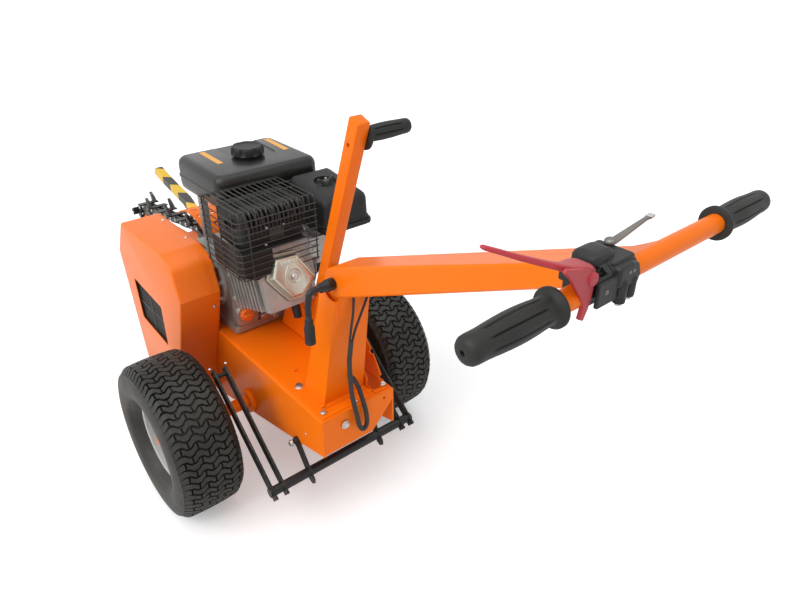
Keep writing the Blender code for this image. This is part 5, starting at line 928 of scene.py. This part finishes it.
# What is bolted to the crankcase and the head where they can be seen.
def makeEngineDetails():
    castings = []
    bolts = []
    face = 0.0915
    cover = mm([(-72, 78), (-80.5, 78), (-83, 74), (-83, 62), (-86.5, 56), (-86.5, 34), (-93, 30), (-93, 0)])
    castings.append(lathe([(a, r) for a, r in cover], "x", crank, 64))
    for i in range(9):
        turn = tau * i / 9 + 0.2
        spot = (crank[0] + 0.0705 * cos(turn), crank[1] + 0.0705 * sin(turn))
        castings.append(lathe([(-0.074, 0.0095), (-0.085, 0.0088), (-0.0856, 0)], "x", spot, 20))
        bolts.append(domedBolt("x", spot, -0.0855, 0.0045, 0.004, -1))
        near = (crank[0] + 0.034 * cos(turn + 0.35), crank[1] + 0.034 * sin(turn + 0.35))
        far = (crank[0] + 0.066 * cos(turn + 0.35), crank[1] + 0.066 * sin(turn + 0.35))
        castings.append(tubeMesh([(-0.0835, *near), (-0.0815, *far)], 0.003, 8))
    rail = mm([(-4, 381.5), (120.5, 364), (120.5, 376.5), (90, 381), (70, 389.5), (45, 386), (-4, 396)])
    castings.append(prism(roundedOutline(rail, 0.003, 3), "y", 0.076, face))
    boxes = [box4((-0.07, 0.376), (-0.004, 0.436)), box4((-0.066, 0.47), (-0.01, 0.522))]
    for outline, steps in ((roundedOutline(boxes[0], 0.014), [(0.0835, 0.0012), (0.0815, 0.004)]),
                           (circlePoints((-0.045, 0.415), 0.0235, 40), [(0.0795, 0.001), (0.0785, 0.0025)]),
                           (roundedOutline(boxes[1], 0.012), [(0.084, 0.0015), (0.082, 0.0045)])):
        castings.append(shell(outline, "y", [(face, 0)] + steps))
    for x, z, radius in ((-0.06, 0.46, 0.0095), (-0.0187, 0.466, 0.0085), (-0.064, 0.53, 0.0085),
                         (-0.012, 0.527, 0.0085), (0.095, 0.445, 0.011)):
        castings.append(lathe([(face, radius * 1.25), (0.083, radius), (0.08, radius * 0.92), (0.0795, 0)], "y",
                              (x, z), 28))
        bolts.append(domedBolt("y", (x, z), 0.0795, 0.0045, 0.0042, -1))
    for x in (-0.062, -0.05, -0.038, -0.026):
        castings.append(block((x, 0.0855, 0.442), (x + 0.0035, face, 0.565)))
    finishPiece(joined(castings), "engineCastings", "castMetal", smooth=40, bevel=0.001)
    strap = mm([(6, 401), (80, 402), (112, 416), (112, 423), (78, 410), (6, 417)])
    finishPiece(prism(strap, "y", 0.077, 0.079), "engineStrap", "blackPaint", bevel=0.0005)
    for x, z, size in ((0.0061, 0.3884, 0.0055), (0.04, 0.376, 0.0055), (0.108, 0.416, 0.005),
                       (0.014, 0.409, 0.0045)):
        bolts.append(domedBolt("y", (x, z), 0.076, size, 0.0048, -1))
    finishPiece(joined(bolts), "engineBolts", "steel", bevel=0.0004)
    # The governor's arm and its spring beside the head.
    link = smoothPath(mm([(58, -70, 590), (74, -74, 606), (94, -60, 612), (104, -50, 618)]), 20)
    stay = mm([(64, -62, 560), (70, -75, 600), (72, -78, 635)])
    rods = [tubeMesh(link, 0.0013, 8), tubeMesh(stay, 0.0022, 8)]
    spring = []
    for i in range(121):
        turn = tau * i / 10
        spring.append((0.062 + 0.036 * i / 120, -0.068 + 0.0032 * cos(turn), 0.622 + 0.0032 * sin(turn)))
    rods.append(tubeMesh(spring, 0.0006, 6))
    finishPiece(joined(rods), "governorRods", "steel", smooth=60)
    arm = prism(roundedOutline(mm([(60, 548), (69, 548), (80, 632), (74, 650), (66, 640)]), 0.003, 3), "y",
                -0.07, -0.0684)
    finishPiece(arm, "governorArm", "darkSteel", bevel=0.0003)


def makeOilCap():
    # A round cap with a scalloped rim and a grip bar.
    centre = (-0.045, 0.415)
    levels = [(0.0778, -0.0015, 0), (0.0765, 0, 0.6), (0.07, 0, 1), (0.0655, -0.0006, 1), (0.064, -0.0022, 0.6),
              (0.064, -0.006, 0)]
    mesh = scallopedCap("y", centre, 0.0186, levels, 108, 9, 0.0018, 0.7)
    bar = shell(roundedOutline(box4((centre[0] - 0.013, centre[1] - 0.0036),
                                    (centre[0] + 0.013, centre[1] + 0.0036)), 0.003), "y",
                [(0.0645, -0.0008), (0.059, 0), (0.0575, 0.0012)])
    finishPiece(joined([mesh, bar]), "oilCap", "orangePlastic", "oil_lid", "oil_cap", smooth=40)


makeValveCover()
makeEngineDetails()
makeOilCap()
print("engine details made")


# The handlebar, its controls, the lift lever and the lock crank.
barCentre = (-0.966, 0.9555)


def gripMesh(centre, start, end, side, flange, radius, belly):
    # A swelling grip with a round flange, long grooves and a hole in its end.
    length = abs(end - start)
    profile = [(0, radius * 0.8, 0), (0, flange - 0.0015, 0), (0.0012, flange, 0), (0.004, flange, 0),
               (0.0056, flange - 0.0014, 0), (0.0064, radius + 0.0026, 0), (0.009, radius + 0.0006, 0)]
    for i in range(1, 31):
        t = i / 31
        at = 0.009 + (length - 0.018) * t
        swell = sin(pi * min(t * 1.12, 1)) ** 1.3
        share = min(1, max(0, (t - 0.1) / 0.05)) * min(1, max(0, (0.86 - t) / 0.05))
        profile.append((at, radius + belly * swell, share))
    profile += [(length - 0.007, radius - 0.0006, 0), (length - 0.0035, radius - 0.0026, 0),
                (length - 0.001, radius - 0.0062, 0), (length, radius - 0.01, 0), (length, 0.0034, 0),
                (length - 0.0045, 0.003, 0), (length - 0.0045, 0.0003, 0)]

    def depth(turn, r, share):
        # The grooves run along the grip.
        away = abs((turn * 8 / tau + 0.5) % 1 - 0.5) * tau / 8 * r
        return 0.0026 * share * max(0, 1 - (away / 0.0014) ** 2)

    return skin([waveLoop("x", centre, start + side * along, 192, lambda turn: r - depth(turn, r, share))
                 for along, r, share in profile])


# The lift lever: a square tube from the axle to its grip, with the arm that carries the lift link.
lever = dict(angle=radians(110.6), half=0.016, low=0.059, high=0.091, top=0.83, grip=0.79, hole=0.773,
             arm=0.129, armAngle=radians(69), armLow=0.062, armHigh=0.0725, pin=0.006, pinEnd=0.083)


def leverPoint(along, across):
    # A place on the lever, in (y, z).
    c, s = cos(lever["angle"]), sin(lever["angle"])
    return (along * c - across * s, axle[1] + along * s + across * c)


def makeLiftLever():
    half, low, high = lever["half"], lever["low"], lever["high"]
    corners = [leverPoint(*spot) for spot in ((-0.01, -half), (lever["top"], -half), (lever["top"], half),
                                              (-0.01, half))]
    steps = [(low, 0.003), (low + 0.0009, 0.0009), (low + 0.003, 0), (high - 0.003, 0), (high - 0.0009, 0.0009),
             (high, 0.003)]
    tube = shell(corners, "x", steps, 0.0022)
    hole = rod("x", leverPoint(lever["hole"], -0.001), 0.005, low - 0.01, high - 0.004, 32)
    hub = lathe([(low, 0), (low, 0.0262), (low + 0.0008, 0.027), (high - 0.0008, 0.027), (high, 0.0262),
                 (high, 0)], "x", axle, 64)
    armAhead = Vector((cos(lever["armAngle"]), sin(lever["armAngle"])))
    root = Vector(axle)
    armEnd = root + armAhead * lever["arm"]
    side = Vector((-armAhead.y, armAhead.x)) * 0.01
    strap = [tuple(root - side), tuple(armEnd - side * 0.98), tuple(armEnd + side * 0.98), tuple(root + side)]
    arm = shell(roundedOutline(strap, 0.0095, 6), "x",
                [(lever["armLow"], 0.0006), (lever["armLow"] + 0.0006, 0), (lever["armHigh"], 0)])
    pin = rod("x", tuple(armEnd), lever["pin"], lever["armHigh"] - 0.001, lever["pinEnd"], 24)
    stub = rod("x", leverPoint(lever["grip"], 0), 0.008, high - 0.004, high + 0.06, 24)
    finishPiece(joined([carve(tube, [hole]), hub, arm, pin, stub]), "liftLever", "orangePaint", "lift",
                "lift_lever", bevel=0.0005)


def makeHandlebar():
    bar = lathe(mm([(-305.5, 0), (-305.5, 13), (-304.5, 14), (304.5, 14), (305.5, 13), (305.5, 0)]),
                "x", barCentre, 56)
    finishPiece(bar, "tBar", "orangePaint", "handlebar", "t_bar")
    for side, name, node in ((-1, "gripLeft", "grip_left"), (1, "gripRight", "grip_right")):
        mesh = gripMesh(barCentre, side * 0.174, side * 0.311, side, 0.0245, 0.0172, 0.0026)
        finishPiece(mesh, name, "gripRubber", "handlebar", node, smooth=50)
    centre = leverPoint(lever["grip"], 0)
    mesh = gripMesh(centre, 0.0913, 0.213, 1, 0.03, 0.016, 0.0016)
    finishPiece(mesh, "liftLeverGrip", "gripRubber", "lift", "lift_lever_grip", smooth=50)
    # Sheet gussets that spread from the beam to the bar on both sides.
    shares = [i / 10 for i in range(11)]
    fillet = [(0.0375 + 0.052 * (1 - sin(t * pi / 2)), -0.9585 + 0.078 * t) for t in shares]
    outline = [(0.03, -0.88), (0.03, -0.96), (0.0895, -0.96)] + fillet
    loops = []
    for z, drop in ((0.9335, 0.0012), (0.935, 0), (0.9585, 0), (0.96, 0.0012)):
        loops.append([(x - drop, y - drop, z - 0.44 * max(0, y + 0.958)) for x, y in outline])
    mesh = skin(loops)
    mirrored = mesh.copy()
    for vertex in mirrored.verts:
        vertex.co.x = -vertex.co.x
    finishPiece(joined([mesh, mirrored]), "barGussets", "orangePaint", "handlebar", bevel=0.001)


def bladeMesh(path, widths, heights, middle):
    # A blade along a path of (x, z) points. At each, it has half a width along Y, half a height and a middle.
    points = [Vector(p) for p in path]
    loops = []
    for i, point in enumerate(points):
        ahead = (points[min(i + 1, len(points) - 1)] - points[max(i - 1, 0)]).normalized()
        up = Vector((-ahead.y, ahead.x))
        loop = []
        for u, v in circlePoints((0, 0), 1, 24):
            spot = point + up * heights[i] * copysign(abs(v) ** 0.55, v)
            loop.append((spot.x, middle[i] + widths[i] * copysign(abs(u) ** 0.55, u), spot.y))
        loops.append(loop)
    return skin(loops)


controls = dict(barrels=[(-0.076, -0.9855, 0.0078, 0.933), (-0.057, -0.985, 0.0074, 0.935)])


def makeControls():
    # The housing is cut open at its left for the clutch lever, and its cables leave below.
    outline = mm([(-984.5, 940), (-932, 940), (-932, 978), (-940, 986), (-974, 986), (-984.5, 979)])
    steps = mm([(-124.5, 2.5), (-123.5, 0.6), (-121.5, 0), (-50, 0), (-47.5, 1), (-46.5, 3)])
    body = shell(outline, "x", steps, 0.0055)
    cutters = [block((-0.14, -0.978, 0.96), (-0.0985, -0.952, 0.979)),
               block((-0.14, -0.976, 0.974), (-0.108, -0.955, 0.995)),
               rod("x", barCentre, 0.0142, -0.2, 0, 48),
               block((-0.096, -0.99, 0.96), (-0.0945, -0.9, 0.99)),
               block((-0.13, -0.9836, 0.935), (-0.105, -0.975, 0.99)),
               block((-0.126, -0.94, 0.92), (-0.103, -0.929, 0.96))]
    finishPiece(carve(body, cutters), "controlHousing", "charcoal", "handlebar",
                "control_housing", bevel=0.0012)
    # A plate on the back, a domed switch case on top, and a second case at the right.
    parts = [shell(mm([(-123.5, 941.5), (-86, 941.5), (-86, 973.5), (-123.5, 973.5)]), "y",
                   [(-0.9837, 0), (-0.987, 0), (-0.988, 0.001)], 0.003),
             shell(mm([(-90, 956), (-48, 950), (-44, 965), (-50, 979), (-64, 983), (-90, 983)]), "y",
                   mm([(-964, 0), (-985, 0), (-988.5, 1), (-990.5, 3.5)]), 0.006),
             shell(box4((-0.113, -0.972), (-0.07, -0.934)), "z",
                   mm([(980, 0), (989, 0.4), (993, 2.5), (995.5, 6.5), (996.5, 11.5)]), 0.012),
             shell(box4((-0.09, -0.982), (-0.048, -0.93)), "z", [(0.978, 0), (0.985, 0), (0.9868, 0.0018)],
                   0.006)]
    finishPiece(joined(parts), "controlCovers", "charcoal", "handlebar", bevel=0.0006)
    stud = lathe(mm([(-979, 0), (-979, 4.5), (-976, 6.2), (-964, 6.2), (-960, 4.5), (-960, 0)]), "y",
                 (-0.1075, 0.97), 32)
    finishPiece(stud, "controlStud", "charcoal", "handlebar", smooth=50)
    barrels = []
    tips = []
    for x, y, radius, low in controls["barrels"]:
        profile = [(0.965, 0), (0.964, radius * 0.7), (0.961, radius), (0.944, radius)]
        at = 0.942
        while at > low + 0.004:
            profile += [(at, radius), (at - 0.0008, radius - 0.0009), (at - 0.0018, radius - 0.0009),
                        (at - 0.0026, radius)]
            at -= 0.0042
        profile += [(low + 0.001, radius - 0.0008), (low, radius - 0.0022), (low, 0)]
        barrels.append(lathe(profile, "z", (x, y), 36))
        tips.append(lathe([(low + 0.0005, 0.0042), (low - 0.003, 0.004), (low - 0.0036, 0.003),
                           (low - 0.0036, 0)], "z", (x, y), 24))
    finishPiece(joined(barrels), "cableBarrels", "charcoal", "handlebar", smooth=40)
    finishPiece(joined(tips), "cableTips", "clearWhite", "handlebar")
    screws = [roundHead("y", (-0.108, 0.959), -0.9879, 0.0032, 0.0016, -1),
              roundHead("y", (-0.07, 0.972), -0.9903, 0.0022, 0.001, -1),
              roundHead("y", (-0.062, 0.972), -0.9903, 0.0022, 0.001, -1)]
    finishPiece(joined(screws), "controlScrews", "darkSteel", "handlebar")


def makeClutchLever():
    path = mm([(-118, 980), (-124, 985), (-131, 990.5), (-142, 994.5), (-153, 997.5), (-164, 1001),
               (-178, 1006), (-196, 1013), (-214, 1020.2), (-231, 1027.5), (-245.5, 1033.6), (-248, 1034.7)])
    widths = [0.011, 0.014, 0.015, 0.0148, 0.013, 0.01, 0.007, 0.0058, 0.0052, 0.0047, 0.0044, 0.0026]
    heights = [0.004, 0.0058, 0.0062, 0.0054, 0.0046, 0.0042, 0.0038, 0.0035, 0.0032, 0.0029, 0.0027, 0.0014]
    middle = [-0.965, -0.965, -0.9655, -0.966, -0.9665, -0.968, -0.965, -0.956, -0.946, -0.935, -0.926, -0.9245]
    blade = bladeMesh(path, widths, heights, middle)
    web = mm([(-124.9, 975.5), (-133, 990.5), (-147.9, 999), (-168, 1004.5), (-180, 1008.5), (-183, 1005),
              (-170, 993), (-158.6, 977.1), (-147, 962), (-141.5, 950), (-145, 934.5), (-137, 930),
              (-130.5, 944), (-127, 960)])
    plate = shell(roundedOutline(web, 0.0016, 3), "y", [(-0.9775, 0), (-0.9812, 0), (-0.9824, 0.0012)])
    hub = lathe(mm([(-985, 0), (-985, 7), (-983.6, 8.2), (-948, 8.2), (-948, 0)]), "y", (-0.131, 0.981), 40)
    finishPiece(joined([blade, plate, hub]), "clutchLever", "redPlastic", "clutch",
                "clutch_lever", smooth=55, bevel=0.0006)


def makeThrottleLever():
    low = 0.9883
    path = mm([(-56, -955), (-42, -953.5), (43, -938.8), (50, -939.8), (60, -938), (59, -930), (49, -931),
               (43, -933), (-42, -943), (-56, -945)])
    blade = carve(prism(path, "z", low, low + 0.0026),
                  [rod("z", (0.0545, -0.9345), 0.0016, low - 0.01, low + 0.01, 24)])
    finishPiece(blade, "throttleLever", "darkSteel", "throttle", "throttle_lever", bevel=0.0006)
    tip = mm([(49.5, -940.1), (60.3, -938.3), (59.3, -929.7), (48.5, -930.7)])
    finishPiece(prism(tip, "z", low - 0.0002, low + 0.003), "throttleTip", "steel", "throttle", bevel=0.0005)
    pivot = lathe([(low, 0.0075), (low + 0.0034, 0.0072), (low + 0.005, 0.0055), (low + 0.0055, 0)], "z",
                  (-0.05, -0.947), 32)
    finishPiece(pivot, "throttlePivot", "darkSteel", "throttle", smooth=50)


def makeLockCrank():
    ty, tz = -0.338, 0.676
    sleeve = mm([(-39.3, 0), (-39.3, 12.5), (-42, 13.2), (-56, 13.2), (-57, 11.8), (-58.5, 11.8), (-59.5, 11.2),
                 (-72, 10.5), (-74, 7), (-74, 0)])
    path = [(-0.07, ty, tz), (-0.0985, ty, tz), (-0.1, ty + 0.0055, 0.64), (-0.1, ty + 0.006, 0.601)]
    arm = tubeMesh(roundPath(path, 0.016, 8), 0.0068, 20)
    nut = lathe(mm([(39.3, 0), (39.3, 10.5), (45.5, 10.5), (47, 9), (47.5, 0)]), "x", (ty, tz), 6)
    finishPiece(joined([lathe(sleeve, "x", (ty, tz), 48), arm, nut]), "lockCrank", "blackPaint", "tilt_lock",
                "lock_crank", smooth=45)
    profile = mm([(610, 6), (610.8, 7.4), (610, 8.6), (596, 9.4)])
    at = 0.593
    while at > 0.562:
        profile += [(at, 0.0112), (at - 0.0009, 0.0104), (at - 0.002, 0.0104), (at - 0.0028, 0.0114)]
        at -= 0.0044
    profile += mm([(557, 12), (553.5, 11.4), (552, 8.5), (552, 0)])
    finishPiece(lathe(profile, "z", (-0.1, ty + 0.006), 40), "lockCrankKnob", "gripRubber", "tilt_lock",
                "lock_crank_knob", smooth=40)


makeLiftLever()
makeHandlebar()
makeControls()
makeClutchLever()
makeThrottleLever()
makeLockCrank()
print("handlebar and controls made")


# The bolts that show on the deck and the frames, and the deck's raised plate and lip.
def makeFastenings():
    spots = mm([(-80.7, -330), (-2.6, -341.7), (87.9, -333)])
    bolts = [domedBolt("z", spot, 0.357, 0.0056, 0.0042) for spot in spots]
    bolts.append(domedBolt("z", (-0.0712, -0.2145), 0.357, 0.008, 0.0066))
    bolts.append(domedBolt("y", (-0.042, 0.319), -0.3592, 0.008, 0.005, -1))
    bolts.append(domedBolt("x", (-0.278, 0.27), -0.102, 0.0024, 0.0018, -1))
    for side in (-1, 1):
        bolts.append(domedBolt("x", (-0.238, 0.225), side * 0.1195, 0.0068, 0.0052, side))
    finishPiece(joined(bolts), "frameBolts", "steel", bevel=0.0004)
    plate = roundedOutline(box4((-0.0955, -0.348), (0.052, 0.08)), 0.006)
    finishPiece(shell(plate, "z", [(0.3528, 0), (0.3545, 0), (0.3552, 0.0008)]), "deckPlate", "orangePaint")
    lip = mm([(54.5, -225, 355.5), (54.5, -348, 355.5), (95.5, -348, 355.5), (95.5, -225, 355.5)])
    finishPiece(tubeMesh(roundPath(lip, 0.004, 4), 0.0016, 8), "deckLip", "orangePaint")
    pins = []
    for side in (-1, 1):
        for x in (0.171, 0.213):
            pins.append(roundHead("z", (side * x, -0.0425), 0.3775, 0.0042, 0.0035))
    finishPiece(joined(pins), "swingFramePins", "steel", "rear_swing")


def chainPins():
    # The pins of the chain, as on a round of twelve teeth, two straight runs and a small nose.
    pitch, headRadius, noseRadius, count = 0.042, 0.042 / (2 * sin(pi / 12)), 0.05, 34
    low, high = count * pitch / 8, count * pitch / 2
    for i in range(60):
        span = (low + high) / 2
        lean = asin((headRadius - noseRadius) / span)
        noseStep = 2 * asin(pitch / 2 / noseRadius)
        parts = ((pi / 2 + lean) / (tau / 12), span * cos(lean) / pitch, (pi / 2 - lean) / noseStep)
        if sum(parts) < count / 2:
            low = span
        else:
            high = span
    spots = []
    for i in range(count):
        at = min(i, count - i)
        if at < parts[0]:
            turn = pi - at * tau / 12
            spot = Vector((headRadius * cos(turn), headRadius * sin(turn)))
        elif at < parts[0] + parts[1]:
            turn = pi / 2 - lean
            start = Vector((headRadius * cos(turn), headRadius * sin(turn)))
            end = Vector((span + noseRadius * cos(turn), noseRadius * sin(turn)))
            spot = start.lerp(end, (at - parts[0]) / parts[1])
        else:
            turn = pi / 2 - lean - (at - parts[0] - parts[1]) * noseStep
            spot = Vector((span + noseRadius * cos(turn), noseRadius * sin(turn)))
        if i > count / 2:
            spot.y = -spot.y
        spot.rotate(Matrix.Rotation(radians(-5), 2))
        spots.append((0.42 + spot.x, 0.433 + spot.y))
    return spots


def makeChainPins():
    heads = []
    for spot in chainPins():
        for side in (-1, 1):
            heads.append(roundHead("x", spot, 0.03 + side * 0.0145, 0.0056, 0.003, side))
    finishPiece(joined(heads), "chainPinHeads", "steel", "boom")


makeFastenings()
makeChainPins()
print("bolts and chain pins made")


# The cables between the beam and the column, and their sleeve.
def makeCable(name, node, route, radius, count):
    path = [point + shift for point in smoothPath(route, count)]
    made = finishPiece(tubeMesh(path, radius, 16), name, "cableSleeve", node=node,
                       smooth=60, moved=True)


makeCable("clutchCable", "control_cable_clutch",
          mm([(31, -358.5, 640), (30, -358, 626), (-2, -358, 562), (-10.5, -358, 538.4)]), 0.0028, 40)
makeCable("throttleCable", "control_cable_throttle",
          mm([(-4, -358.5, 640), (-8, -358.5, 600), (-15, -358, 560), (-19, -358, 537.4)]), 0.0028, 40)
makeCable("cableSleeve", "cable_sleeve",
          mm([(-15, -358, 537), (-19.5, -358.4, 510), (-23.6, -359.4, 478), (-24, -364, 400),
              (-17, -370.6, 340), (-13.5, -371.5, 315), (-10.5, -372, 303), (-4.5, -372.2, 294.5),
              (3, -372.2, 294.5), (8.5, -371.8, 303), (10.7, -370.5, 315), (9.5, -368.2, 340), (5, -363, 372),
              (3.3, -354, 396), (3, -344.5, 407), (3, -332, 412.5), (3, -319, 413.5)]), 0.0055, 130)
print("cables made")
